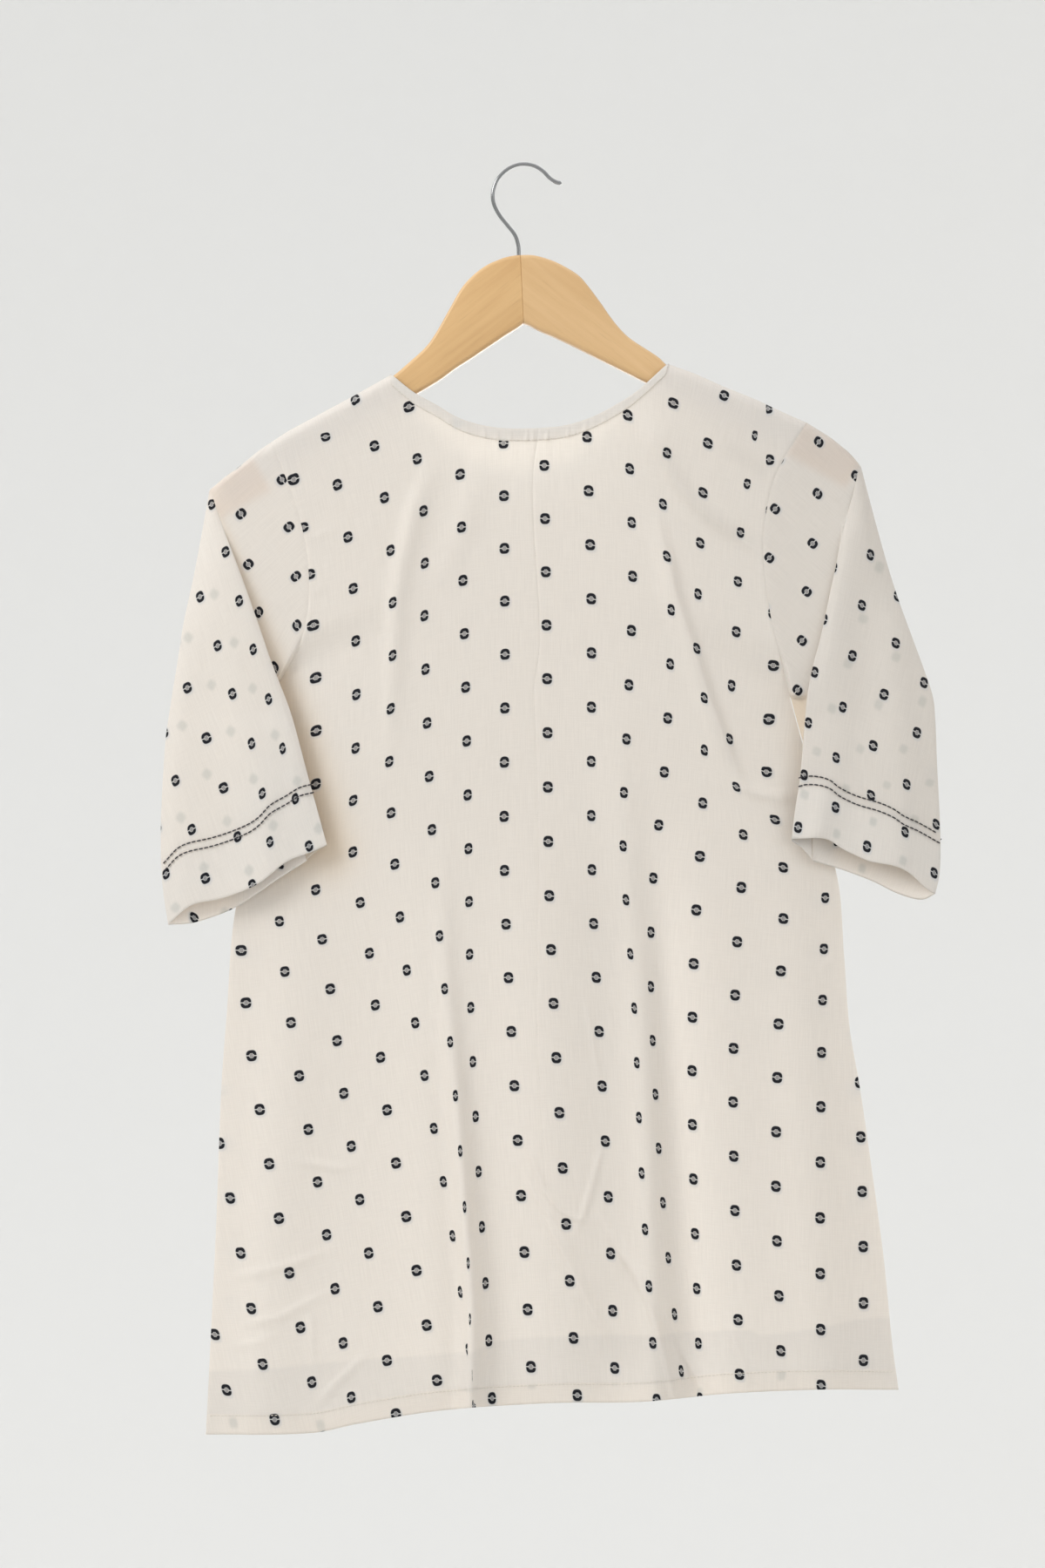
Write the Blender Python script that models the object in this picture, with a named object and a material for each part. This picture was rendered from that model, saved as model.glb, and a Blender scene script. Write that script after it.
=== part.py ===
"""A woven cotton top hung on a wooden hanger, seen from its back.

The frame is +Z up, with the back of the top facing -Y, and its origin under the bend of the
hook, where the wire rests on whatever holds it. Tables are in millimetres: x runs to the
right as the back is seen, and drop is the distance below the origin.
"""

import math

import bmesh
import bpy
import numpy as np

MM = 0.001

CLOTH = 1.5
HEM_CLOTH = 2.2
SEAM_GAP = 0.3
HEM_DEPTH = 14.0

SHOULDER_HALF_DEPTH = 8.2
SHOULDER_RADIUS = 8.0
BODY_HALF_DEPTH_TOP = 8.6
BODY_HALF_DEPTH_HEM = 15.0
UNDERARM_ROW = 0.26
SIDE_CLOSING_ROW = 0.55 * UNDERARM_ROW
CENTRE_SEAM = 0.5
SIDE_EDGE_DEPTH = (HEM_CLOTH + SEAM_GAP) / 2
RIDGE_EDGE_DEPTH = 0.45

NECK_BACK_WIDTH = (-94.5, 104.5)
BINDING_ROWS = 4
BINDING_CLOTH = 1.2

SHOULDER_ROWS = (0.0, 0.0015, 0.0045, 0.0125, 0.0225, 0.036, 0.05)
PANEL_ROWS_ABOVE = 5
PANEL_ROWS_BELOW = 13
SHOULDER_COLUMNS = 5
BACK_COLUMNS = 9
FRONT_COLUMNS = 14
NECK_POINT_COLUMNS = (0.003, 0.0075, 0.0145, 0.024)
GATHER_COLUMNS = 5
GATHER_LEAST_SPACING = 0.012

# The line over the hanger, from tip to tip: the top outline of the shoulders.
RIDGE = (
    # x, drop
    (-224.0, 232.0),
    (-213.5, 223.0),
    (-202.0, 214.5),
    (-188.0, 203.0),
    (-168.0, 189.8),
    (-146.5, 178.2),
    (-122.5, 165.4),
    (-94.5, 149.6),
    (-80.0, 138.0),
    (0.0, 64.0),
    (80.0, 127.0),
    (104.5, 141.8),
    (123.0, 148.4),
    (145.0, 158.2),
    (167.5, 167.2),
    (186.0, 176.0),
    (203.0, 183.4),
    (220.0, 193.9),
    (234.0, 205.2),
    (242.0, 214.5),
)

ARMHOLE = {
    # side: (drop, x)
    "left": (
        (197.8, -180.0),
        (232.0, -165.5),
        (265.0, -156.0),
        (293.0, -152.5),
        (320.0, -153.5),
        (345.0, -160.0),
        (371.0, -175.0),
    ),
    "right": (
        (183.4, 203.0),
        (221.0, 181.0),
        (258.0, 172.5),
        (284.0, 172.0),
        (322.0, 177.0),
        (352.0, 184.5),
        (381.0, 191.5),
    ),
}

SIDE_SEAM = {
    # side: (drop, x)
    "left": (
        (371.0, -175.0),
        (536.0, -206.0),
        (605.0, -211.5),
        (660.0, -215.5),
        (753.0, -219.0),
        (847.0, -223.5),
        (907.0, -226.5),
    ),
    "right": (
        (381.0, 191.5),
        (508.0, 225.0),
        (564.0, 230.0),
        (616.0, 234.0),
        (660.0, 241.5),
        (722.0, 250.5),
        (782.0, 258.5),
        (842.0, 264.5),
        (875.0, 269.0),
    ),
}

NECK_BACK = (
    # x, drop
    (-94.5, 149.6),
    (-78.0, 162.8),
    (-61.0, 172.4),
    (-48.5, 180.0),
    (-35.5, 185.0),
    (-20.0, 188.2),
    (-3.5, 189.2),
    (18.5, 188.3),
    (34.0, 186.0),
    (50.0, 180.6),
    (66.0, 172.4),
    (82.0, 162.0),
    (104.5, 141.8),
)

NECK_FRONT = (
    # x, drop
    (-94.5, 149.6),
    (-80.0, 169.0),
    (-62.0, 191.0),
    (-42.0, 209.0),
    (-20.0, 220.0),
    (5.0, 224.0),
    (30.0, 219.0),
    (54.0, 204.0),
    (75.0, 182.0),
    (91.0, 161.0),
    (104.5, 141.8),
)

HEM = (
    # x, drop
    (-226.5, 907.0),
    (-150.0, 904.0),
    (-117.0, 897.0),
    (-60.0, 887.5),
    (17.0, 882.0),
    (85.0, 881.0),
    (145.0, 875.5),
    (212.0, 873.5),
    (269.0, 875.0),
)

FOLDS_BACK = (
    # name, (x, drop) at its top, middle and foot, half width and height at top and foot, rise
    ("long fold on the left", (-66, 440), (-52, 640), (-39, 907), (9, 12), (0, 17), 0.25),
    ("long fold on the right", (68, 350), (79, 610), (97, 900), (11, 13), (0, 19), 0.25),
    ("left neck fold", (-60, 190), (-84, 290), (-92, 450), (8, 12), (5, 1), 0.2),
    ("right neck fold", (80, 170), (116, 232), (168, 285), (7, 10), (4, 2), 0.25),
    ("right shoulder blade fold", (92, 235), (122, 350), (158, 452), (9, 12), (4, 3), 0.3),
    ("soft fold left of centre", (-25, 200), (-42, 250), (-59, 315), (10, 13), (3, 1), 0.3),
)

FOLDS_FRONT = (
    # name, (x, drop) at its top, middle and foot, half width and height at top and foot, rise
    ("front fold under the left arm", (-120, 330), (-140, 600), (-158, 907), (10, 15), (1, 15), 0.3),
    ("front fold left of centre", (-40, 300), (-52, 600), (-66, 907), (9, 14), (2, 12), 0.3),
    ("front fold right of centre", (50, 300), (62, 600), (78, 900), (9, 14), (2, 15), 0.3),
    ("front fold under the right arm", (135, 330), (160, 600), (188, 900), (10, 15), (1, 12), 0.3),
)

# Small gathers held by the back neck binding: place along the neck, and height.
NECK_GATHERS = (
    # x, height
    (-27.0, 0.7),
    (-18.0, 0.8),
    (3.0, 0.9),
    (7.5, 0.7),
    (17.5, 1.0),
    (32.5, 0.9),
    (37.0, 0.6),
    (45.0, 0.8),
    (58.0, 0.6),
)
GATHER_HALF_WIDTH = 1.9

# A row for each level of a sleeve. The fold is its inner edge as the back is seen, lap is how far
# the fold reaches over what lies under it, and far_drop is how much lower the far layer hangs.
SLEEVE_COLUMNS = (
    "fold_drop",
    "fold_x",
    "outer_drop",
    "outer_x",
    "lap",
    "fold_depth",
    "outer_depth",
    "seam_x",
    "seam_depth",
    "far_drop",
)
SLEEVES = {
    "left": (
        (232.0, -224.0, 232.0, -224.0, 0.0, 0.0, 0.0, None, None, 0.0),
        (266.0, -210.8, 266.0, -230.0, 3.0, -11.0, -1.0, None, None, 0.0),
        (296.0, -199.3, 296.0, -235.6, 5.0, -13.0, -2.0, None, None, 0.0),
        (328.0, -187.9, 328.0, -242.4, 6.0, -13.5, -3.0, None, None, 0.0),
        (353.0, -179.4, 353.0, -246.1, 6.0, -13.0, -4.0, None, None, 0.0),
        (371.0, -172.5, 371.0, -249.0, 6.0, -12.5, -5.0, -175.6, 0.0, 0.0),
        (388.0, -166.0, 391.0, -252.0, 7.0, -12.5, -6.0, -178.6, -5.0, 0.0),
        (405.0, -160.8, 412.0, -254.8, 8.0, -14.5, -7.0, -174.0, -9.5, 1.0),
        (436.0, -152.5, 470.0, -257.9, 8.0, -16.5, -8.0, -167.0, -12.5, 4.0),
        (460.0, -145.8, 510.0, -257.0, 8.0, -17.5, -8.5, -160.0, -14.0, 7.0),
        (485.0, -138.9, 542.0, -252.7, 8.0, -18.5, -9.0, -153.0, -15.5, 10.0),
    ),
    "right": (
        (214.5, 242.0, 214.5, 242.0, 0.0, 0.0, 0.0, None, None, 0.0),
        (261.0, 228.5, 261.0, 254.2, 2.0, -10.0, -1.0, None, None, 0.0),
        (289.0, 222.6, 289.0, 262.0, 3.0, -11.5, -2.0, None, None, 0.0),
        (315.0, 217.0, 315.0, 270.3, 4.0, -12.5, -3.0, None, None, 0.0),
        (335.0, 212.7, 335.0, 277.5, 5.0, -13.0, -4.0, None, None, 0.0),
        (362.0, 205.8, 362.0, 287.4, 5.0, -13.0, -4.5, None, None, 0.0),
        (381.0, 202.5, 381.0, 293.3, 5.0, -12.5, -5.0, 192.1, 0.0, 0.0),
        (395.0, 201.2, 399.0, 294.8, 6.0, -12.0, -6.0, 198.6, -4.5, 1.0),
        (412.0, 199.8, 424.0, 295.6, 7.0, -13.0, -7.0, 207.5, -7.5, 2.0),
        (440.0, 197.0, 478.0, 298.0, 8.0, -14.5, -8.0, 207.0, -9.5, 5.0),
        (462.0, 193.5, 505.0, 297.5, 8.0, -15.5, -8.5, 206.0, -10.5, 8.0),
        (481.0, 191.2, 520.0, 294.3, 8.0, -16.5, -9.0, 206.0, -11.5, 11.0),
    ),
}

SLEEVE_CAP_STEPS = 3
SLEEVE_LAP_STEPS = 2
SLEEVE_NEAR_STEPS = 8
SLEEVE_FAR_STEPS = 9
SLEEVE_LAYER_BULGE = 7.0
SLEEVE_ROWS_BELOW = 9
SLEEVE_SEAM_GAP = 0.8
NEAR_LAYER_BULGE = 0.75 * SLEEVE_LAYER_BULGE
LAYER_ROUNDNESS = 0.6

# Below the hanger's tip the sleeve passes from lying flat to hanging over this stretch.
HANG_START = 4.0
HANG_FULL = 55.0

# Shares of the way from the armhole to the outer edge, where the cap lies flat.
CAP_FOLD_SHARE = 0.72
CAP_LAP_SHARE = 0.12
CAP_EDGE_SLOPE = 0.8

# How the cloth under the fold lies: how near it comes to the body, and how far down the lap
# opens toward the underarm seam.
UNDER_FOLD_REACH = 0.75
UNDER_FOLD_GAP = 3.0
LAP_OPENS_BELOW = 25.0
OPEN_LAP_SEAM_SHARE = 0.45
UNDER_FOLD_SEAM_SHARE = 0.6
FRONT_SEAM_TURN = 6

HANGER_HALF_THICKNESS = 6.0
HANGER_EDGE_RADIUS = 3.4
HANGER_ARMS = {
    # side: (x, drop) of the top edge, (x, drop) of the bottom edge
    "left": (
        (-1.6, 63.9, 0.7, 110.1),
        (-12.4, 65.3, -6.5, 114.9),
        (-22.9, 69.6, -13.3, 119.4),
        (-35.3, 78.4, -24.8, 127.0),
        (-44.9, 89.6, -35.3, 134.5),
        (-54.6, 106.6, -45.0, 140.7),
        (-65.7, 125.0, -54.6, 146.9),
        (-80.0, 139.6, -76.6, 162.1),
        (-94.5, 151.8, -92.0, 172.0),
        (-122.5, 167.6, -119.0, 189.0),
        (-146.5, 180.4, -143.0, 202.0),
        (-168.0, 192.0, -164.0, 214.0),
        (-188.0, 205.4, -182.0, 226.0),
        (-202.0, 217.0, -196.0, 237.0),
        (-211.0, 225.5, -206.0, 243.0),
        (-214.5, 233.0, -212.0, 240.0),
    ),
    "right": (
        (-1.3, 63.9, 1.0, 110.1),
        (10.0, 64.6, 7.5, 113.0),
        (18.4, 66.9, 14.0, 116.0),
        (31.0, 72.5, 28.0, 123.4),
        (43.4, 81.8, 40.0, 129.5),
        (53.1, 94.2, 50.0, 134.5),
        (64.2, 110.3, 59.5, 139.2),
        (80.0, 125.8, 76.0, 148.0),
        (92.0, 135.2, 88.5, 154.5),
        (104.5, 144.0, 101.0, 161.5),
        (123.0, 150.8, 120.0, 172.5),
        (145.0, 160.6, 142.0, 183.0),
        (167.5, 169.6, 164.0, 193.0),
        (186.0, 178.4, 183.0, 202.0),
        (203.0, 186.0, 199.0, 210.0),
        (220.0, 196.6, 215.0, 219.0),
        (230.5, 205.5, 226.0, 224.5),
        (234.5, 213.0, 232.0, 220.5),
    ),
}

HOOK_WIRE_RADIUS = 1.35
HOOK_END_RADIUS = 1.45
HOOK = (
    # x, drop
    (-2.7, 63.3),
    (-3.0, 57.0),
    (-5.4, 49.5),
    (-10.6, 42.6),
    (-16.6, 35.0),
    (-20.6, 26.8),
    (-21.2, 19.0),
    (-18.6, 10.8),
    (-13.4, 4.4),
    (-7.0, 0.3),
    (0.0, -1.35),
    (8.0, -0.3),
    (14.4, 3.4),
    (19.6, 8.6),
    (24.0, 11.4),
    (28.0, 12.4),
)
HOOK_POINTS = 44


def clear_scene():
    for obj in list(bpy.data.objects):
        bpy.data.objects.remove(obj)


def finish_material(name, color, roughness, metallic=0.0):
    material = bpy.data.materials.new(name)
    material.use_nodes = True
    shader = material.node_tree.nodes["Principled BSDF"]
    shader.inputs["Base Color"].default_value = (*color, 1.0)
    shader.inputs["Roughness"].default_value = roughness
    shader.inputs["Metallic"].default_value = metallic
    material.diffuse_color = (*color, 1.0)
    return material


def smoothstep(low, high, value):
    t = min(1.0, max(0.0, (value - low) / (high - low)))
    return t * t * (3 - 2 * t)


def curve_value(rows, at, column=1):
    """The smooth curve through rows, as a function of their first column."""
    keys = [row[0] for row in rows]
    values = [row[column] for row in rows]
    if at <= keys[0]:
        return values[0]
    if at >= keys[-1]:
        return values[-1]
    i = int(np.searchsorted(keys, at, side="right")) - 1
    before = max(i - 1, 0)
    after = min(i + 2, len(rows) - 1)
    span = keys[i + 1] - keys[i]
    t = (at - keys[i]) / span
    slope_in = (values[i + 1] - values[before]) / (keys[i + 1] - keys[before])
    slope_out = (values[after] - values[i]) / (keys[after] - keys[i])
    return (
        (2 * t**3 - 3 * t**2 + 1) * values[i]
        + (t**3 - 2 * t**2 + t) * span * slope_in
        + (3 * t**2 - 2 * t**3) * values[i + 1]
        + (t**3 - t**2) * span * slope_out
    )


def ridge_drop(x):
    return float(np.interp(x, [row[0] for row in RIDGE], [row[1] for row in RIDGE]))


def arch(below):
    """How much of its full depth the cloth has this far under the line over the hanger."""
    reach = min(1.0, max(0.0, below / SHOULDER_RADIUS))
    return math.sqrt(1 - (1 - reach) ** 2)


def edge_point(side, row):
    """The left or right edge of a body panel, from its shoulder end (0) to its hem (1)."""
    if row <= UNDERARM_ROW:
        table, share = ARMHOLE[side], row / UNDERARM_ROW
    else:
        table, share = SIDE_SEAM[side], (row - UNDERARM_ROW) / (1 - UNDERARM_ROW)
    drop = table[0][0] + (table[-1][0] - table[0][0]) * share
    return np.array([curve_value(table, drop), drop])


def top_point(face, column):
    """The top edge of a body panel: left shoulder, neckline, right shoulder."""
    left, right = ARMHOLE["left"][0][1], ARMHOLE["right"][0][1]
    x = left + (right - left) * column
    neck_left, neck_right = NECK_BACK_WIDTH
    if x <= neck_left or x >= neck_right:
        return np.array([x, ridge_drop(x)])
    return np.array([x, curve_value(NECK_BACK if face == "back" else NECK_FRONT, x)])


def hem_point(column):
    x = HEM[0][0] + (HEM[-1][0] - HEM[0][0]) * column
    return np.array([x, curve_value(HEM, x)])


def panel_outline_point(face, column, row):
    """Where a point of a body panel lies in its outline, blended from the four edges."""
    left, right = edge_point("left", row), edge_point("right", row)
    top, foot = top_point(face, column), hem_point(column)
    corners = (
        (1 - column) * ((1 - row) * top_point(face, 0) + row * hem_point(0))
        + column * ((1 - row) * top_point(face, 1) + row * hem_point(1))
    )
    return (1 - column) * left + column * right + (1 - row) * top + row * foot - corners


def fold_height(folds, x, drop):
    """How far the folds stand out of a panel here."""
    total = 0.0
    for _, top, middle, foot, widths, heights, rise in folds:
        share = (drop - top[1]) / (foot[1] - top[1])
        if share <= 0 or share > 1.05:
            continue
        path = ((top[1], top[0]), (middle[1], middle[0]), (foot[1], foot[0]))
        offset = x - curve_value(path, drop)
        half_width = widths[0] + (widths[1] - widths[0]) * share
        height = heights[0] + (heights[1] - heights[0]) * share
        total += height * smoothstep(0, rise, share) * math.exp(-((offset / half_width) ** 2))
    return total


def panel_depth(face, x, drop, column, row):
    """The panel's distance from the plane between front and back."""
    closing = smoothstep(SIDE_CLOSING_ROW, UNDERARM_ROW, row)
    edge = SHOULDER_HALF_DEPTH + (SIDE_EDGE_DEPTH - SHOULDER_HALF_DEPTH) * closing
    middle = BODY_HALF_DEPTH_TOP + (BODY_HALF_DEPTH_HEM - BODY_HALF_DEPTH_TOP) * row
    across = 1 - abs(2 * column - 1) ** 3
    folds = FOLDS_BACK if face == "back" else FOLDS_FRONT
    full = edge + (middle - edge) * across + fold_height(folds, x, drop) * min(1.0, 2.5 * across)
    return RIDGE_EDGE_DEPTH + (full - RIDGE_EDGE_DEPTH) * arch(drop - ridge_drop(x))


def panel_point(face, column, row):
    x, drop = panel_outline_point(face, column, row)
    depth = panel_depth(face, x, drop, column, row)
    return np.array([x, -depth if face == "back" else depth, -drop])


def rows_above_underarm():
    """Close together where the cloth bends over the hanger, then evenly down the armhole."""
    first = SHOULDER_ROWS[-1]
    spaced = [
        first + (UNDERARM_ROW - first) * i / PANEL_ROWS_ABOVE for i in range(1, PANEL_ROWS_ABOVE)
    ]
    return list(SHOULDER_ROWS) + spaced


def panel_rows():
    above = rows_above_underarm()
    hem_row = 1 - HEM_DEPTH / (HEM[0][1] - NECK_BACK[0][1])
    below = [
        UNDERARM_ROW + (hem_row - UNDERARM_ROW) * i / (PANEL_ROWS_BELOW - 1)
        for i in range(PANEL_ROWS_BELOW)
    ]
    return above + below + [1.0]


def mesh_object(name, points, faces, material, weights=None):
    mesh = bpy.data.meshes.new(name)
    mesh.from_pydata([tuple(np.asarray(point) * MM) for point in points], [], faces)
    mesh.materials.append(material)
    obj = bpy.data.objects.new(name, mesh)
    bpy.context.scene.collection.objects.link(obj)
    if weights is not None:
        group = obj.vertex_groups.new(name="thickness")
        for index, weight in enumerate(weights):
            group.add([index], weight, "REPLACE")
    mesh.shade_smooth()
    return obj


def thicken(obj, thickness, thin=None):
    """Turns a sheet into a wall about its own middle. thin is the wall where the weight is 0."""
    solidify = obj.modifiers.new("Cloth", "SOLIDIFY")
    solidify.thickness = thickness * MM
    solidify.offset = 0.0
    if thin is not None:
        solidify.vertex_group = "thickness"
        solidify.thickness_vertex_group = thin / thickness


def grid_faces(rows, columns, flip):
    faces = []
    for i in range(rows - 1):
        for j in range(columns - 1):
            corner = i * columns + j
            face = (corner, corner + columns, corner + columns + 1, corner + 1)
            faces.append(face[::-1] if flip else face)
    return faces


def body_panel(name, face, material):
    """One body panel. A back half is drawn back from the centre seam."""
    rows = panel_rows()
    columns = panel_columns(name)
    points = []
    weights = []
    for row in rows:
        for column in columns:
            point = panel_point(face, column, row)
            if face == "back" and column == CENTRE_SEAM:
                point[0] += SEAM_GAP / 2 * (1 if name == "back_right" else -1)
            points.append(point)
            weights.append(1.0 if row > rows[-3] else 0.0)
    faces = grid_faces(len(rows), len(columns), flip=face == "front")
    obj = mesh_object(name, points, faces, material, weights)
    thicken(obj, HEM_CLOTH, CLOTH)
    shape = (len(rows), len(columns), 3)
    normals = np.array([vertex.normal[:] for vertex in obj.data.vertices]).reshape(shape)
    return columns, np.array(points).reshape(shape), normals


def neck_columns():
    """Where the two neck points lie along the top edge."""
    left, right = ARMHOLE["left"][0][1], ARMHOLE["right"][0][1]
    return [(x - left) / (right - left) for x in NECK_BACK_WIDTH]


def spaced_columns(stops, counts):
    columns = [stops[0]]
    for start, stop, count in zip(stops, stops[1:], counts):
        columns += [start + (stop - start) * (i + 1) / count for i in range(count)]
    return columns


def panel_columns(name):
    """Evenly spaced over the shoulders and the neck, and closer beside the neck points."""
    first, last = neck_columns()
    left = [first + step for step in NECK_POINT_COLUMNS]
    right = [last - step for step in reversed(NECK_POINT_COLUMNS)]
    ones = [1] * len(left)
    if name == "back_left":
        stops = [0.0, first, *left, CENTRE_SEAM]
        counts = [SHOULDER_COLUMNS, *ones, BACK_COLUMNS]
    elif name == "back_right":
        stops = [CENTRE_SEAM, *right, last, 1.0]
        counts = [BACK_COLUMNS, *ones, SHOULDER_COLUMNS]
    else:
        stops = [0.0, first, *left, *right, last, 1.0]
        counts = [SHOULDER_COLUMNS, *ones, FRONT_COLUMNS, *ones, SHOULDER_COLUMNS]
    return spaced_columns(stops, counts)


def gather_height(x):
    return sum(
        height * math.exp(-(((x - place) / GATHER_HALF_WIDTH) ** 2))
        for place, height in NECK_GATHERS
    )


def neck_binding(name, panels, material, gathered=False):
    """A narrow band lying on the neck edge, made from the panels' points moved out."""
    columns = np.concatenate([panels[0][0]] + [panel[0][1:] for panel in panels[1:]])
    points = np.concatenate([panels[0][1]] + [panel[1][:, 1:] for panel in panels[1:]], axis=1)
    normals = np.concatenate([panels[0][2]] + [panel[2][:, 1:] for panel in panels[1:]], axis=1)
    first, last = neck_columns()
    inside = [c for c in columns if first - 1e-6 <= c <= last + 1e-6]
    places = [inside[0]]
    for start, stop in zip(inside, inside[1:]):
        count = GATHER_COLUMNS if gathered and stop - start > GATHER_LEAST_SPACING else 1
        places += [start + (stop - start) * (i + 1) / count for i in range(count)]
    lift = CLOTH / 2 + SEAM_GAP + BINDING_CLOTH / 2
    band = []
    for row in range(BINDING_ROWS):
        for place in places:
            here = np.array([np.interp(place, columns, points[row, :, k]) for k in range(3)])
            outward = np.array([np.interp(place, columns, normals[row, :, k]) for k in range(3)])
            rise = gather_height(here[0]) * row / (BINDING_ROWS - 1) if gathered else 0.0
            band.append(here + outward * (lift + rise))
    faces = grid_faces(BINDING_ROWS, len(places), flip=name == "neck_binding_front")
    thicken(mesh_object(name, band, faces, material), BINDING_CLOTH)


def body_and_binding(material):
    back = [body_panel(name, "back", material) for name in ("back_left", "back_right")]
    front = body_panel("front", "front", material)
    neck_binding("neck_binding_back", back, material, gathered=True)
    neck_binding("neck_binding_front", [front], material)


def tip_level(side):
    return SLEEVES[side][0][0]


def outer_x(side, drop):
    """The outer edge of the sleeve: the line over the hanger, then the hanging edge."""
    if drop >= tip_level(side):
        return curve_value([row[2:4] for row in SLEEVES[side]], drop)
    on_side = [row for row in RIDGE if (row[0] < -100 if side == "left" else row[0] > 104)]
    on_side.sort(key=lambda row: row[1])
    return float(np.interp(drop, [row[1] for row in on_side], [row[0] for row in on_side]))


def cap_depth(x, drop, outer):
    """Depth of the cloth lying over the hanger's arm, closing in at the outer edge."""
    in_from_edge = abs(x - outer) * CAP_EDGE_SLOPE
    return SHOULDER_HALF_DEPTH * min(arch(drop - ridge_drop(x)), arch(in_from_edge))


def sleeve_level(side, drop):
    """The sleeve's measures where its inner fold is at this drop."""
    level = {}
    for i, name in enumerate(SLEEVE_COLUMNS):
        rows = [row for row in SLEEVES[side] if row[i] is not None]
        level[name] = curve_value(rows, drop, i)
    return level


def tuck_point(side, drop, level, hang, start, fold, outer):
    """Where the cloth turns back under the fold."""
    lap = level["lap"] if side == "left" else -level["lap"]
    x = fold[0] + (1 - hang) * CAP_LAP_SHARE * (start[0] - outer[0]) - hang * lap
    underarm = ARMHOLE[side][-1][0]
    if drop < underarm:
        flat = -cap_depth(x, drop, outer[0])
        under = fold[1] + (flat - fold[1]) * UNDER_FOLD_REACH
        return np.array([x, hang * under + (1 - hang) * flat, drop])
    if drop > underarm + LAP_OPENS_BELOW:
        x = fold[0] + OPEN_LAP_SEAM_SHARE * (start[0] - fold[0])
    under = fold[1] + UNDER_FOLD_GAP
    return np.array([x, under + UNDER_FOLD_SEAM_SHARE * (start[1] - under), drop])


def cap_points(start, tuck, outer, open_ring):
    """From the armhole, or the underarm seam, to where the cloth turns back under the fold."""
    points = []
    for i in range(SLEEVE_CAP_STEPS):
        share = i / SLEEVE_CAP_STEPS
        point = start + (tuck - start) * share
        if open_ring and i:
            flat = -cap_depth(point[0], point[2], outer[0])
            point[1] += (flat - point[1]) * (1 - share**2)
        points.append(point)
    return points


def lap_points(tuck, fold):
    """Round the fold, in a quarter turn."""
    points = []
    for i in range(SLEEVE_LAP_STEPS):
        turn = math.pi / 2 * i / SLEEVE_LAP_STEPS
        point = fold.copy()
        point[0] = tuck[0] + (fold[0] - tuck[0]) * math.sin(turn)
        point[1] = tuck[1] + (fold[1] - tuck[1]) * (1 - math.cos(turn))
        points.append(point)
    return points


def near_points(fold, outer, drop, hang):
    """The near layer, from the fold to the outer edge."""
    points = []
    for i in range(SLEEVE_NEAR_STEPS):
        turn = math.pi * i / SLEEVE_NEAR_STEPS
        share = (1 - math.cos(turn)) / 2
        point = fold + (outer - fold) * share
        hung = point[1] - NEAR_LAYER_BULGE * math.sin(math.pi * share) ** LAYER_ROUNDNESS
        point[1] = hang * hung - (1 - hang) * cap_depth(point[0], drop, outer[0])
        points.append(point)
    return points


def far_points(outer, end, drop, hang, open_ring, far_drop):
    """The far layer, from the outer edge back to the armhole or the underarm seam."""
    points = []
    for i in range(SLEEVE_FAR_STEPS + 1):
        turn = math.pi * i / SLEEVE_FAR_STEPS
        share = (1 - math.cos(turn)) / 2
        point = outer + (end - outer) * share
        depth = point[1] + SLEEVE_LAYER_BULGE * math.sin(math.pi * share) ** LAYER_ROUNDNESS
        if open_ring:
            depth = hang * depth + (1 - hang) * cap_depth(point[0], drop, outer[0])
            depth += (end[1] - depth) * share**FRONT_SEAM_TURN
        point[1] = depth
        point[2] += far_drop * math.sin(math.pi * share)
        points.append(point)
    return points


def sleeve_ring(side, drop, start, end):
    """One turn of a sleeve: from its back seam point, under the lap, along the near layer to
    the outer edge and along the far layer to its front seam point."""
    level = sleeve_level(side, drop)
    hang = smoothstep(tip_level(side) + HANG_START, tip_level(side) + HANG_FULL, drop)
    open_ring = drop < ARMHOLE[side][-1][0]
    outer = np.array([level["outer_x"], level["outer_depth"], level["outer_drop"]])
    fold = np.array([level["fold_x"], level["fold_depth"], drop])
    if drop < tip_level(side):
        outer = np.array([outer_x(side, drop), 0.0, drop])
        fold[0] = start[0] + CAP_FOLD_SHARE * (outer[0] - start[0])
    fold[1] = hang * fold[1] - (1 - hang) * cap_depth(fold[0], drop, outer[0])
    tuck = tuck_point(side, drop, level, hang, start, fold, outer)
    return (
        cap_points(start, tuck, outer, open_ring)
        + lap_points(tuck, fold)
        + near_points(fold, outer, drop, hang)
        + far_points(outer, end, drop, hang, open_ring, level["far_drop"])
    )


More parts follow.
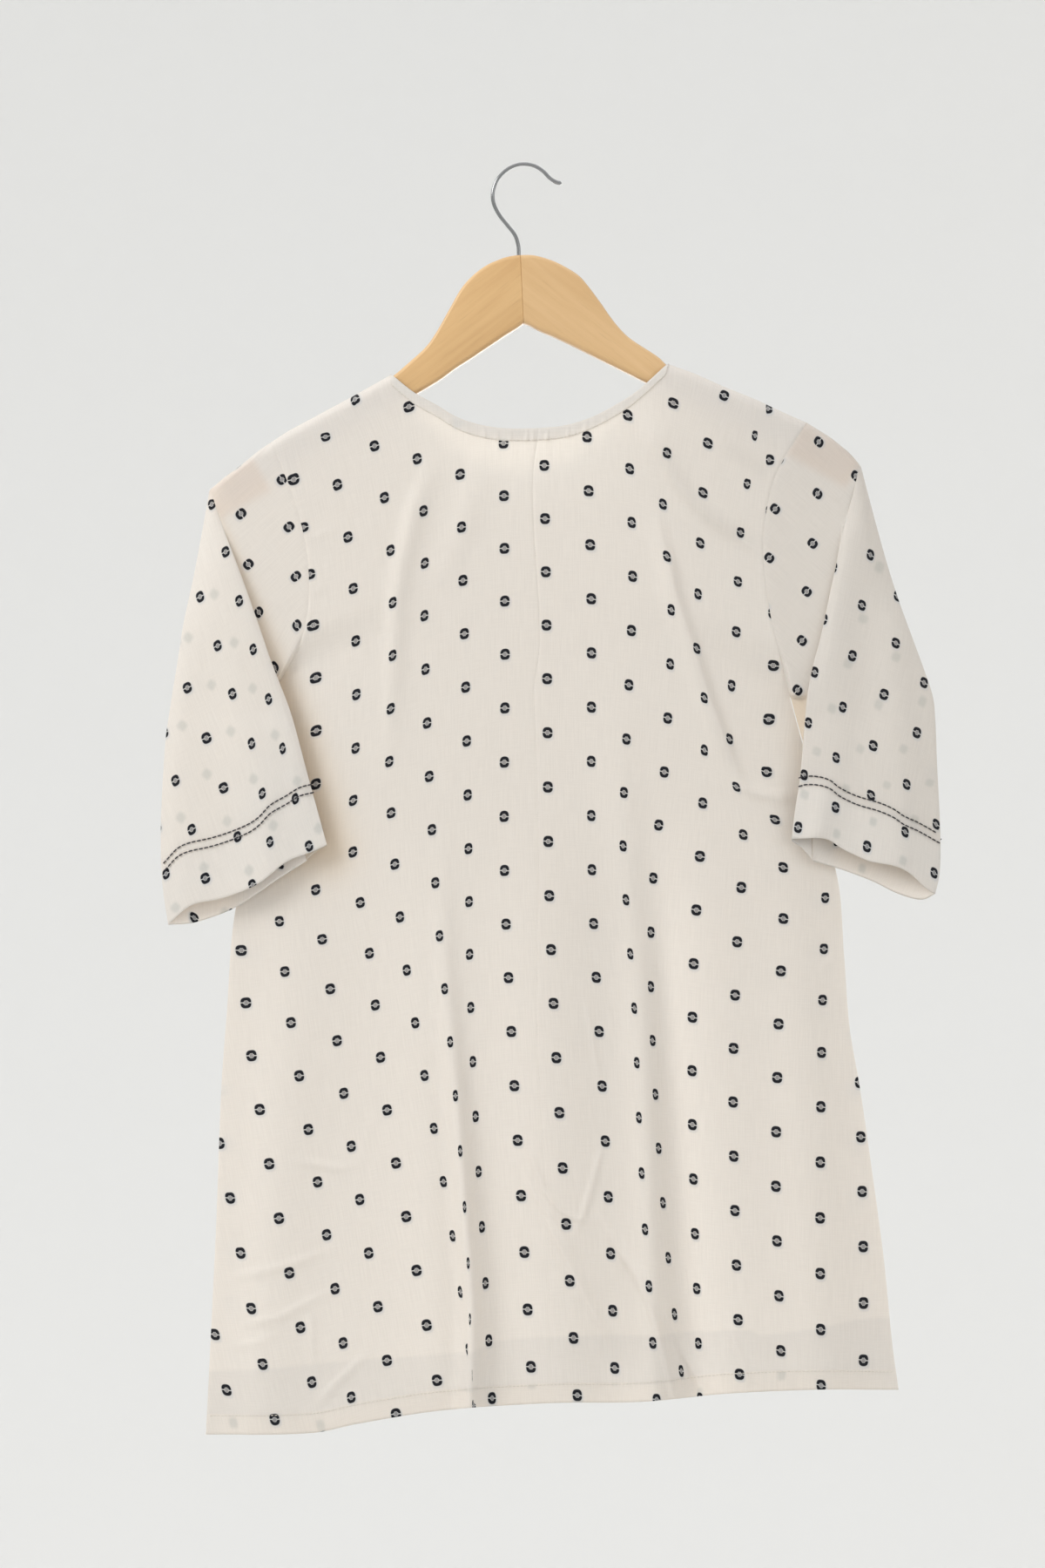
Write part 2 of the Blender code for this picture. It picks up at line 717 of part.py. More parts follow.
def sleeve(name, side, material):
    """A sleeve: open rings beside the armhole, closed ones under the arm."""
    outward = -1 if side == "left" else 1
    underarm = ARMHOLE[side][-1][0]
    cuff = SLEEVES[side][-1][0]
    crown = edge_point(side, 0)
    points = [np.array([crown[0] + outward * SLEEVE_SEAM_GAP, 0.0, -crown[1]])]
    weights = [0.0]
    faces = []
    rings = []
    for row in rows_above_underarm()[1:]:
        x, drop = edge_point(side, row)
        depth = panel_depth("back", x, drop, 0 if side == "left" else 1, row)
        start = np.array([x + outward * SLEEVE_SEAM_GAP, -depth, drop])
        end = np.array([x + outward * SLEEVE_SEAM_GAP, depth, drop])
        rings.append((drop, start, end, False))
    for i in range(SLEEVE_ROWS_BELOW + 1):
        drop = underarm + (cuff - underarm) * i / SLEEVE_ROWS_BELOW
        level = sleeve_level(side, drop)
        seam = np.array([level["seam_x"], level["seam_depth"], drop])
        rings.append((drop, seam, seam, True))
    flip = side == "right"
    previous = None
    for drop, start, end, closed in rings:
        ring = sleeve_ring(side, drop, start, end)
        if closed:
            ring = ring[:-1]
        first = len(points)
        for point in ring:
            points.append(np.array([point[0], point[1], -point[2]]))
            weights.append(1.0 if drop > cuff - HEM_DEPTH else 0.0)
        indices = list(range(first, first + len(ring)))
        if closed:
            indices.append(first)
        for j in range(len(indices) - 1):
            if previous is None:
                face = (0, indices[j], indices[j + 1])
            else:
                face = (previous[j], indices[j], indices[j + 1], previous[j + 1])
            faces.append(face if flip else face[::-1])
        previous = indices
    obj = mesh_object(name, points, faces, material, weights)
    thicken(obj, HEM_CLOTH, CLOTH)


def hanger_arm(name, side, material):
    """One wooden arm: its outline between two faces, with the long edges rounded."""
    rows = HANGER_ARMS[side]
    outline = [(row[0], row[1]) for row in rows] + [(row[2], row[3]) for row in reversed(rows)]
    if side == "left":
        outline.reverse()
    bm = bmesh.new()
    near = [bm.verts.new((x * MM, -HANGER_HALF_THICKNESS * MM, -drop * MM)) for x, drop in outline]
    far = [bm.verts.new((x * MM, HANGER_HALF_THICKNESS * MM, -drop * MM)) for x, drop in outline]
    bm.faces.new(near)
    bm.faces.new(far[::-1])
    count = len(outline)
    for i in range(count):
        after = (i + 1) % count
        bm.faces.new((near[after], near[i], far[i], far[after]))
    bmesh.ops.recalc_face_normals(bm, faces=bm.faces)
    mitre_x = max(abs(rows[0][0]), abs(rows[0][2])) * MM + MM * 0.01
    rims = [
        edge
        for edge in bm.edges
        if abs(edge.verts[0].co.y - edge.verts[1].co.y) < MM * 0.01
        and not all(abs(vert.co.x) <= mitre_x for vert in edge.verts)
    ]
    bmesh.ops.bevel(
        bm,
        geom=rims,
        offset=HANGER_EDGE_RADIUS * MM,
        segments=3,
        profile=0.5,
        affect="EDGES",
    )
    mesh = bpy.data.meshes.new(name)
    bm.to_mesh(mesh)
    bm.free()
    mesh.materials.append(material)
    mesh.shade_smooth()
    mesh.set_sharp_from_angle(angle=math.radians(50))
    obj = bpy.data.objects.new(name, mesh)
    bpy.context.scene.collection.objects.link(obj)


def smooth_path(rows, count):
    """Evenly spaced points on the smooth curve through rows."""
    rows = np.array(rows, float)
    lengths = np.concatenate([[0], np.cumsum(np.linalg.norm(np.diff(rows, axis=0), axis=1))])
    table = [(length, x, drop) for length, (x, drop) in zip(lengths, rows)]
    places = np.linspace(0, lengths[-1], count)
    return [(curve_value(table, place, 1), curve_value(table, place, 2)) for place in places]


def hanger_hook(material):
    curve = bpy.data.curves.new("hanger_hook", "CURVE")
    curve.dimensions = "3D"
    curve.bevel_depth = HOOK_WIRE_RADIUS * MM
    curve.bevel_resolution = 2
    curve.use_fill_caps = True
    spline = curve.splines.new("POLY")
    path = smooth_path(HOOK, HOOK_POINTS)
    spline.points.add(len(path) - 1)
    for i, (x, drop) in enumerate(path):
        spline.points[i].co = (x * MM, 0.0, -drop * MM, 1.0)
        from_end = len(path) - 1 - i
        spline.points[i].radius = HOOK_END_RADIUS / HOOK_WIRE_RADIUS if from_end in (1, 2) else 1.0
    curve.materials.append(material)
    obj = bpy.data.objects.new("hanger_hook", curve)
    bpy.context.scene.collection.objects.link(obj)


def build():
    clear_scene()
    cloth = finish_material("woven_cotton", (0.80, 0.74, 0.65), 0.85)
    wood = finish_material("lacquered_wood", (0.62, 0.38, 0.17), 0.35)
    chrome = finish_material("chromed_wire", (0.60, 0.60, 0.62), 0.2, metallic=1.0)
    body_and_binding(cloth)
    sleeve("sleeve_left", "left", cloth)
    sleeve("sleeve_right", "right", cloth)
    hanger_arm("hanger_arm_left", "left", wood)
    hanger_arm("hanger_arm_right", "right", wood)
    hanger_hook(chrome)


build()
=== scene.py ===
import math

import bmesh
import bpy
import numpy as np
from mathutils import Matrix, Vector


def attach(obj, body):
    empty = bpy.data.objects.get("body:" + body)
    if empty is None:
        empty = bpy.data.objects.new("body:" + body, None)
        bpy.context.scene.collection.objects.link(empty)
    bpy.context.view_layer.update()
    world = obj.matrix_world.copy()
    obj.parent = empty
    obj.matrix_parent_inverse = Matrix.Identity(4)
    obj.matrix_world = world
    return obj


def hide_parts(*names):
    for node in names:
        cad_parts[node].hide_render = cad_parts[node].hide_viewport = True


# Lengths in the tables are millimetres. x runs to the right as the back is seen, depth from the
# back of the top to its front, and drop down from the bend of the hook.

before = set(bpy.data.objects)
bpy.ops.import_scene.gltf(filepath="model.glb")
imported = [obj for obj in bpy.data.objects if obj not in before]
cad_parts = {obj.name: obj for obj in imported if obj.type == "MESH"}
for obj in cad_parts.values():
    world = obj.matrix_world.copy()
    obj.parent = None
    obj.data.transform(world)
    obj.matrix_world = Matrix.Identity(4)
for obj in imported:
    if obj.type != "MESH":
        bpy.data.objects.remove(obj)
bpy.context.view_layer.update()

MM = 0.001
BODY = "root"

HEM_DEPTH = 14.0
TURNED_GAP = 0.9

SHOULDER_HALF_DEPTH = 8.2
SHOULDER_RADIUS = 8.0
BODY_HALF_DEPTH_TOP = 8.6
BODY_HALF_DEPTH_HEM = 15.0
UNDERARM_ROW = 0.26
CENTRE_SEAM = 0.5
SIDE_EDGE_DEPTH = 0.5
RIDGE_EDGE_DEPTH = 0.05
NECK_BACK_WIDTH = (-94.5, 104.5)

# The woven spots: how far apart they are along the weft and along the warp, and their size.
WEFT_PITCH = 30.7
WARP_PITCH = 38.3
SPOT_HALF_WIDTH = 3.5
SPOT_HALF_HEIGHT = 4.0

BINDING_DEPTH = 8.4
BINDING_LIFT = 0.5

# How far the seams sink into the cloth, how wide they are, and the swell beside an armhole.
CENTRE_SEAM_DEPTH = 0.1
CENTRE_SEAM_NECK_DEPTH = 0.32
CENTRE_SEAM_WIDTH = 1.1
ARMHOLE_SEAM_DEPTH = 0.3
ARMHOLE_SEAM_WIDTH = 0.8
ARMHOLE_SWELL = 0.1
ARMHOLE_SWELL_PLACE = 2.6
ARMHOLE_SWELL_WIDTH = 1.5

# The pleats below the neck binding against the gathers in it, and how they die away.
PLEAT_HEIGHT_SHARE = 0.7
PLEAT_WIDTH_SHARE = 1.5
PLEAT_LENGTH = 13
PLEAT_SPREAD = 0.035
PUCKER_HEIGHT_SHARE = 0.55

# Where a fold stands out at the hem, the back's foot is drawn up, and the front's let down, by
# this share of the fold's height.
FOOT_RISE = 0.19

# The rows of a body panel: the level of its neck, and its length from there to the hem.
NECK_LEVEL = 190
BODY_LENGTH = 740
TOP_ROWS = 14
TOP_SHARE = 0.045

# The columns of a sleeve: its cap, round its fold, its near layer and its far one.
SLEEVE_COLUMNS = (20, 10, 76, 60)
CROWN_ROWS = 14
CROWN_SHARE = 0.05
ARMHOLE_LENGTH = 180
CUFF_ROWS = 34
CUFF_DEPTHS = (1.5, 6.0, 12.0, 18.0, 24.0, 30.0, 36.0)

# Colours of the cloth, and what of red, green and blue its tones take away or add; most of these tones
# are painted light and shade.
CLOTH_DARK = (0.735, 0.713, 0.678)
CLOTH_LIGHT = (0.773, 0.752, 0.716)
CLOTH_WARM = (0.775, 0.728, 0.67)
THROUGH_TINT = (1.0, 0.84, 0.66)
THROUGH_SHARE = 0.25
SHADE_LOSS = np.array([0.07, 0.15, 0.26])
# Painted shade where one layer of cloth lies alone, and painted light where the hem is doubled.
SINGLE_LAYER_SHADE = np.array([0.062, 0.058, 0.05])
HEM_LIGHT_GAIN = np.array([0.075, 0.062, 0.04])
TIP_LOSS = np.array([0.03, 0.085, 0.125])
# Painted warm shade in the gap between the right sleeve and the body, near its underarm.
GAP_SHADE_LOSS = np.array([0.01, 0.09, 0.2])
# Painted light: the body a little paler low down. Painted shade: darker high on the right and over the
# whole right sleeve, as the light falls from the left.
LOW_LIGHT_GAIN = 0.035
HIGH_RIGHT_SHADE = 0.05
SLEEVE_SHADE = {"left": 1.0, "right": 0.92}
# Painted light: paler where the cuffs are turned up double, and inside the far layer's cuff, which lies
# in shade.
CUFF_LIGHT_GAIN = {"left": 0.03, "right": 0.07}
FAR_CUFF_LIGHT_GAIN = 0.14
HEM_SPOTS_SHARE = 0.75
FAR_SPOTS_SHARE = 0.85

# The motif of a woven spot, in millimetres from its centre, and its colours.
SPOT_HOLLOW = (1.7, 1.75)
SPOT_HEART = (1.35, 1.45)
SPOT_SHADOW_SIZE = (4.2, 4.7)
SPOT_SHADOW_SHIFT = (0.35, 0.9)
SIDE_NOTCH = (0.15, 0.45)
SIDE_SLANT = 0.1
HATCH = 4.6
SCALLOPS = 8.0
SCALLOP_HEIGHT = 0.08
SPOT_DARK = (0.009, 0.010, 0.015)
HEART_DARK = (0.035, 0.036, 0.045)
RING_PALE = (0.50, 0.50, 0.50)
SPOT_SHADOW = (0.50, 0.535, 0.575)
FAR_SPOT = (0.43, 0.455, 0.43)

CREAM = (0.80, 0.74, 0.65)
BLACK = (0.022, 0.022, 0.028)
CHROME = (0.27, 0.275, 0.28)
# Painted shade: the left arm's wood is darker and more orange than the right's.
WOODS_LIT_AND_SHADED = {
    # side: light and dark grain, and the slope of the arm
    "left": ((0.62, 0.40, 0.185), (0.53, 0.32, 0.135), math.radians(38)),
    "right": ((0.63, 0.42, 0.215), (0.56, 0.355, 0.165), math.radians(-38)),
}

# The stage, in metres.
STAGE_COLOUR = (0.745, 0.745, 0.735)
FLOOR_LEVEL = -2.0
STAGE_REACH = 6.6
STAGE_BEND = 4.2
STAGE_HEIGHT = 6.8
STAGE_SIDES = 96
SKY_STRENGTH = 1.3
LIGHT_AIM = (0.0, 0.0, -0.45)
LIGHTS = (
    # name, place, size, power, colour
    ("key_light", (-2.4, -1.6, 1.3), 1.5, 58.0, (1.0, 0.985, 0.965)),
    ("fill_light", (2.2, -2.0, 0.1), 2.0, 9.0, (0.96, 0.98, 1.0)),
    ("rear_light", (0.6, 2.4, -0.9), 2.0, 24.0, (1.0, 1.0, 1.0)),
)
CAMERA_DISTANCE = 2.4
CAMERA_LEVEL = -0.442
VIEW_HEIGHT = 1.116
CLOTH_NEARNESS = 0.012
SENSOR = 36.0

# The line over the hanger, from tip to tip: the top outline of the shoulders.
RIDGE = (
    # x, drop
    (-224, 232), (-213.5, 223), (-202, 214.5), (-188, 203), (-168, 189.8), (-146.5, 178.2),
    (-122.5, 165.4), (-94.5, 149.6), (-80, 138), (0, 64), (80, 127), (104.5, 141.8), (123, 148.4),
    (145, 158.2), (167.5, 167.2), (186, 176), (203, 183.4), (220, 193.9), (234, 205.2), (242, 214.5),
)

ARMHOLE = {
    # side: (drop, x)
    "left": (
        (197.8, -180), (232, -165.5), (265, -156), (293, -152.5), (320, -153.5), (345, -160),
        (371, -175),
    ),
    "right": (
        (183.4, 203), (221, 181), (258, 172.5), (284, 172), (322, 177), (352, 184.5), (381, 191.5),
    ),
}

SIDE_SEAM = {
    # side: (drop, x)
    "left": (
        (371, -175), (536, -206), (605, -211.5), (660, -215.5), (753, -219), (847, -223.5),
        (907, -226.5),
    ),
    "right": (
        (381, 191.5), (508, 225), (564, 230), (616, 234), (660, 241.5), (722, 250.5), (782, 258.5),
        (842, 264.5), (875, 269),
    ),
}

NECK_BACK = (
    # x, drop
    (-94.5, 149.6), (-78, 162.8), (-61, 172.4), (-48.5, 180), (-35.5, 185), (-20, 188.2), (-3.5, 189.2),
    (18.5, 188.3), (34, 186), (50, 180.6), (66, 172.4), (82, 162), (104.5, 141.8),
)

NECK_FRONT = (
    # x, drop
    (-94.5, 149.6), (-80, 169), (-62, 191), (-42, 209), (-20, 220), (5, 224), (30, 219), (54, 204),
    (75, 182), (91, 161), (104.5, 141.8),
)

HEM = (
    # x, drop
    (-226.5, 907), (-150, 904), (-117, 897), (-60, 887.5), (17, 882), (85, 881), (145, 875.5),
    (212, 873.5), (269, 875),
)

# Where the inner layer ends above the hem: below this line the cloth is painted a little greyer, as
# painted shade where one layer alone gives back less light.
INNER_EDGE = (
    # x, drop
    (-223, 862), (-116, 852), (-42, 845.5), (-18.5, 838), (25.5, 834.5), (118, 832), (161, 831),
    (171, 834.5), (245, 824), (269, 824),
)

CREASES_BACK = (
    # name, (x, drop) along it, half widths on its left and right, height, share of rise and fall
    ("long fold on the left", ((-56.5, 440), (-56.5, 550), (-47.5, 663), (-41.5, 740), (-36, 819),
        (-38, 912)), (7.5, 8), 14, (0.85, 0)),
    ("long fold on the right", ((68, 320), (73, 514), (80.5, 577), (85, 660), (89, 753), (91.5, 830),
        (95, 900)), (17, 14), 12, (0.8, 0)),
    ("hollow beside it", ((97, 480), (100, 577), (105, 660), (108, 753), (114, 833), (127, 900)),
        (8, 13), -3, (0.5, 0)),
    ("left neck fold", ((-61.5, 196), (-70, 225), (-77, 245), (-82, 266), (-87, 289), (-90, 311),
        (-94, 388), (-95, 460)), (6, 9), 3.2, (0.25, 0.5)),
    ("right neck fold", ((81, 177), (90, 188.5), (98.5, 204.5), (104, 216), (115.5, 232.5), (132, 249),
        (150.5, 263.5), (172, 277)), (6, 9), 3.4, (0.25, 0.35)),
    ("right shoulder blade fold", ((93, 232), (97, 261), (103, 281.5), (108, 306), (118, 336),
        (124.5, 356), (132.5, 381), (141, 404), (151, 429), (160, 452)), (9, 5), 4.2, (0.3, 0.25)),
    ("soft fold left of centre", ((-25.5, 203), (-33.5, 228), (-40, 250.5), (-52, 283.5), (-60, 315)),
        (9, 11), 1.6, (0.4, 0.5)),
    ("crease under the right arm", ((146, 424), (157.5, 444.5), (174, 449.5), (196, 454)), (4, 6), 2,
        (0.4, 0.2)),
    ("slanting crease at the foot", ((10, 735), (17.5, 752.5), (31, 779.5), (39, 795.5), (49.5, 817),
        (61, 835.5), (68, 852)), (1.8, 5), 2.1, (0.3, 0.3)),
    ("long slanting crease", ((50, 735), (58, 752.5), (67.5, 772.5), (79.5, 790.5), (87.5, 806.5),
        (93, 822.5), (98.5, 841.5), (103.5, 863), (108, 884)), (2, 5), 2.8, (0.3, 0)),
    ("slanting crease right of it", ((88, 796), (93, 806.5), (105, 825), (114.5, 847), (124, 865.5),
        (128, 880)), (2, 5), 2.3, (0.3, 0)),
    ("wrinkle above the slanting crease", ((-2, 684), (8, 712), (20, 738), (40, 752), (62, 748)),
        (1.6, 3), 1.4, (0.3, 0.4)),
    ("wrinkle that crosses it", ((58, 690), (52, 716), (44, 744), (34, 770)), (1.6, 3), 1.2,
        (0.3, 0.4)),
    ("fine crease above them", ((44, 590), (51, 632), (58, 672)), (1.5, 2.5), 0.9, (0.3, 0.5)),
    ("fine crease at the centre", ((-3, 706), (8, 732), (26, 758), (44, 790)), (1.8, 3), 1.3,
        (0.3, 0.4)),
    ("short crease near the hem", ((140, 815), (144, 824), (150.5, 838), (157, 853.5), (163, 873)),
        (2.4, 4), 1, (0.4, 0.2)),
    ("faint crease low on the left", ((-216, 795.5), (-168.5, 784.5), (-126, 769)), (3, 4), 0.9,
        (0.3, 0.4)),
    ("second faint crease", ((-209, 829.5), (-175, 821.5), (-152.5, 810.5), (-123, 797)), (3, 4), 0.9,
        (0.3, 0.4)),
    ("third faint crease", ((-214, 845.5), (-190, 840), (-172, 832)), (3, 4), 0.7, (0.4, 0.4)),
    ("upright crease on the left", ((-152.5, 806), (-150, 835), (-147, 864)), (2.5, 3.5), 0.9,
        (0.4, 0.4)),
    ("curved crease at the hem", ((-150, 888), (-134.5, 870), (-116, 852), (-104, 843)), (2.5, 4), 1.1,
        (0.3, 0.4)),
    ("small crease at the left", ((-173, 710), (-147, 713), (-126.5, 715.5), (-113, 706)), (3, 3.5),
        0.8, (0.4, 0.4)),
    ("small crease at the right", ((209, 576), (221, 569), (232, 564)), (3, 3.5), 0.8, (0.4, 0.4)),
    ("pull at the left armhole", ((-153, 267.5), (-143, 264), (-132, 258)), (2.5, 3), 0.7, (0.2, 0.5)),
    ("second pull at the armhole", ((-153, 307), (-146, 303), (-138, 297)), (2.5, 3), 0.7, (0.2, 0.5)),
    ("pull at the right armhole", ((177, 283), (166, 276), (150, 262)), (3, 4), 1, (0.2, 0.5)),
    ("broad fall on the left", ((-150, 430), (-166, 600), (-178, 760), (-188, 915)), (22, 26), 5,
        (0.6, 0)),
    ("broad fall on the right", ((180, 440), (196, 600), (206, 760), (214, 900)), (20, 24), 4.5,
        (0.6, 0)),
    ("broad fall at the centre", ((12, 420), (16, 600), (22, 760), (28, 900)), (26, 22), 3.5, (0.6, 0)),
)

CREASES_FRONT = (
    # name, (x, drop) along it, half widths on its left and right, height, share of rise and fall
    ("front fold under the left arm", ((-120, 330), (-140, 600), (-150, 760), (-158, 915)), (12, 10),
        15, (0.7, 0)),
    ("front fold left of centre", ((-40, 330), (-52, 600), (-60, 760), (-66, 915)), (9, 12), 12,
        (0.7, 0)),
    ("front fold right of centre", ((50, 330), (62, 600), (71, 760), (78, 915)), (12, 9), 15, (0.7, 0)),
    ("front fold under the right arm", ((135, 330), (160, 600), (175, 760), (188, 915)), (10, 13), 12,
        (0.7, 0)),
    ("soft fold from the left neck", ((-74, 186), (-88, 240), (-100, 300), (-118, 380)), (6, 9), 3,
        (0.25, 0.5)),
    ("soft fold from the right neck", ((84, 178), (100, 236), (118, 300), (142, 380)), (9, 6), 3.4,
        (0.25, 0.5)),
    ("crease from the left arm", ((-150, 350), (-118, 385), (-84, 402)), (4, 6), 2, (0.2, 0.5)),
    ("crease from the right arm", ((178, 358), (140, 396), (104, 420)), (6, 4), 2.2, (0.2, 0.5)),
    ("slanting crease at the front foot", ((-14, 745), (4, 790), (18, 836), (28, 880)), (3, 5), 1.8,
        (0.3, 0.1)),
    ("second crease at the front foot", ((108, 735), (122, 780), (130, 830), (133, 880)), (5, 3), 1.5,
        (0.3, 0.1)),
    ("faint crease at the front", ((-200, 800), (-160, 785), (-118, 764)), (3, 4), 1, (0.3, 0.4)),
)

# Painted light and shade: paler and darker bands beside the long folds, where more or fewer layers lie
# together, and painted shade along the right neck fold, the pull above it and beside the right arm.
LIGHT_AND_SHADE_BACK = (
    # name, (x, drop) along it, half widths on its left and right, change, share of rise and fall
    ("left of the long fold on the right", ((52, 420), (62, 620), (70, 760), (76, 880)), (24, 12),
        -0.06, (0.3, 0.1)),
    ("right of the long fold on the right", ((104, 430), (112, 620), (122, 760), (134, 890)), (12, 26),
        0.09, (0.3, 0)),
    ("left of the long fold on the left", ((-84, 440), (-78, 640), (-66, 890)), (30, 14), 0.04,
        (0.3, 0.1)),
    ("right of the long fold on the left", ((-18, 440), (-14, 640), (-6, 890)), (16, 20), 0.03,
        (0.3, 0.1)),
    ("shade of the right neck fold", ((86, 183), (104, 216), (132, 249), (172, 277)), (6, 6), -0.055,
        (0.2, 0.3)),
    ("shade of the pull above it", ((137, 198), (158, 210), (179, 224)), (6, 6), -0.045, (0.3, 0.2)),
    ("shade left of the right arm", ((118, 336), (141, 404), (160, 452)), (7, 4), -0.045, (0.3, 0.3)),
)

CREASES_SLEEVES = {
    "left": (
        ("swell beside the fold", ((-216, 262), (-186, 340), (-162, 420), (-150, 478)), (9, 5), 1.6,
            (0.3, 0.2)),
        ("soft hollow down the flap", ((-226, 300), (-222, 380), (-216, 470), (-214, 530)), (14, 16),
            -1.6, (0.3, 0)),
        ("soft ridge at the outer edge", ((-236, 300), (-246, 400), (-248, 480), (-240, 536)), (7, 12),
            1.2, (0.3, 0)),
        ("wave at the cuff", ((-186, 420), (-184, 470), (-180, 512)), (12, 10), 2.2, (0.6, 0)),
    ),
    "right": (
        ("swell beside the fold", ((236, 250), (226, 300), (218, 350), (212, 400)), (5, 10), 1.6,
            (0.3, 0.4)),
        ("soft hollow down the flap", ((246, 280), (244, 360), (236, 440), (232, 492)), (12, 14), -1.8,
            (0.3, 0)),
        ("soft ridge down the flap", ((262, 290), (268, 380), (270, 450), (268, 502)), (12, 12), 1.8,
            (0.3, 0)),
        ("wave at the cuff", ((214, 430), (212, 460), (210, 482)), (9, 9), 2.4, (0.6, 0)),
    ),
}

# Small gathers held by the back neck binding.
NECK_GATHERS = (
    # x, height, half width
    (-52, 0.35, 1.6), (-27, 0.55, 1.3), (-18, 0.6, 1.2), (-9, 0.35, 1.6), (3, 0.75, 1.1), (7.5, 0.6, 1),
    (17.5, 0.85, 1.3), (32.5, 0.75, 1.2), (37, 0.5, 1), (45, 0.65, 1.3), (58, 0.5, 1.5), (72, 0.3, 1.8),
)

# Each chart follows the warp lines of the cloth as they hang: for each column of spots, the
# number of the spot down the column and where it is seen.
CHART_BACK = (
    # column, ((spot, x, drop), ...)
    (-8, ((13, -209, 738), (15, -193.5, 816), (17, -176.5, 894.5))),
    (-7, ((8.5, -201, 561), (10.5, -193.5, 636), (12.5, -180.5, 712.5), (14.5, -166, 790),
        (16.5, -150, 868))),
    (-6, ((8, -173.5, 540), (10, -165, 612), (12, -152.5, 688), (14, -139.5, 763), (17, -122, 878.5))),
    (-5, ((-1.5, -174, 181), (-0.5, -163, 225), (1.5, -152, 292.5), (3.5, -147.5, 366),
        (5.5, -147.5, 442), (7.5, -147.5, 517.5), (9.5, -137, 588), (12.5, -122, 700),
        (16.5, -96.5, 852))),
    (-4, ((-2, -146.5, 174), (-1, -140.5, 194.5), (1, -124.5, 266), (3, -119, 340), (5, -119, 416.5),
        (7, -121, 490.5), (9, -109, 562.5), (12, -96.5, 674), (15, -75.5, 788), (17, -61, 866))),
    (-3, ((-1.5, -119.7, 167.4), (-0.5, -105.5, 201), (1.5, -94, 275.5), (3.5, -92.5, 350.5),
        (5.5, -95, 426), (7.5, -91, 499), (9.5, -82.5, 574.5), (12.5, -63, 687), (14.5, -49.5, 763),
        (16.5, -38.5, 842))),
    (-2, ((-1, -81, 173), (1, -70.5, 247.5), (3, -70, 322), (5, -68, 398.5), (7, -64.5, 474.5),
        (9, -59, 550), (12, -47.5, 663), (15, -38.5, 781), (17, -37, 860))),
    (-1, ((-0.5, -45.5, 183.5), (1.5, -43.5, 259), (4.5, -40.5, 373), (7.5, -38.5, 488),
        (10.5, -37, 601), (13.5, -31.5, 717.5), (15.5, -26.5, 796.5), (17.5, -21.5, 878.5))),
    (0, ((0, -13.5, 199), (4, -12.5, 349.5), (8, -13, 503.5), (11, -8, 618), (14, -1, 734.5),
        (17, 6, 856))),
    (1, ((0.5, 15.5, 215), (4.5, 17.5, 367), (8.5, 19, 521.5), (11.5, 24, 636.5), (14.5, 31, 754.5),
        (17.5, 39, 876))),
    (2, ((0, 46, 194.5), (3, 49, 310), (8, 49.5, 503), (11, 54.5, 618), (14, 61, 735.5),
        (17, 65.5, 857))),
    (3, ((-0.5, 75, 179), (2.5, 78.5, 294), (5.5, 74, 410), (7.5, 71.5, 486), (10.5, 79.5, 601),
        (13.5, 84.5, 717.5), (17.5, 95, 877.5))),
    (4, ((-1, 107.5, 170.5), (1, 100, 242.5), (3, 106, 318), (6, 101, 433.5), (8, 93, 509),
        (10, 91, 586), (13, 96.5, 700.5), (15, 103.5, 778.5), (17, 113, 859.5))),
    (5, ((-1.5, 143.8, 165), (-0.5, 132, 199), (2.5, 125, 306.5), (3.5, 124, 345.5),
        (4.5, 129.5, 380.5), (6.5, 128.5, 455.5), (9.5, 122, 570), (12.5, 121, 684.5),
        (16.5, 125, 840))),
    (6, ((-2, 170, 161), (-1, 166, 194), (1, 155.5, 263), (3, 152.5, 333.5), (5, 147.5, 410),
        (7, 157.5, 478), (9, 153, 554.5), (12, 150, 668.5), (17, 154.5, 862))),
    (7, ((0.5, 176.5, 247.5), (3.5, 179, 357.5), (5.5, 174, 433.5), (7.5, 186, 501.5),
        (10.5, 182.5, 613), (13.5, 180.5, 728.5), (16.5, 184, 845.5))),
    (8, ((8, 216.5, 523.5), (11, 213.5, 633.5), (14, 212, 751), (17, 212.5, 870))),
    (9, ((11.5, 241, 655.5), (14.5, 243.5, 772.5), (16.5, 243.5, 853.5))),
)

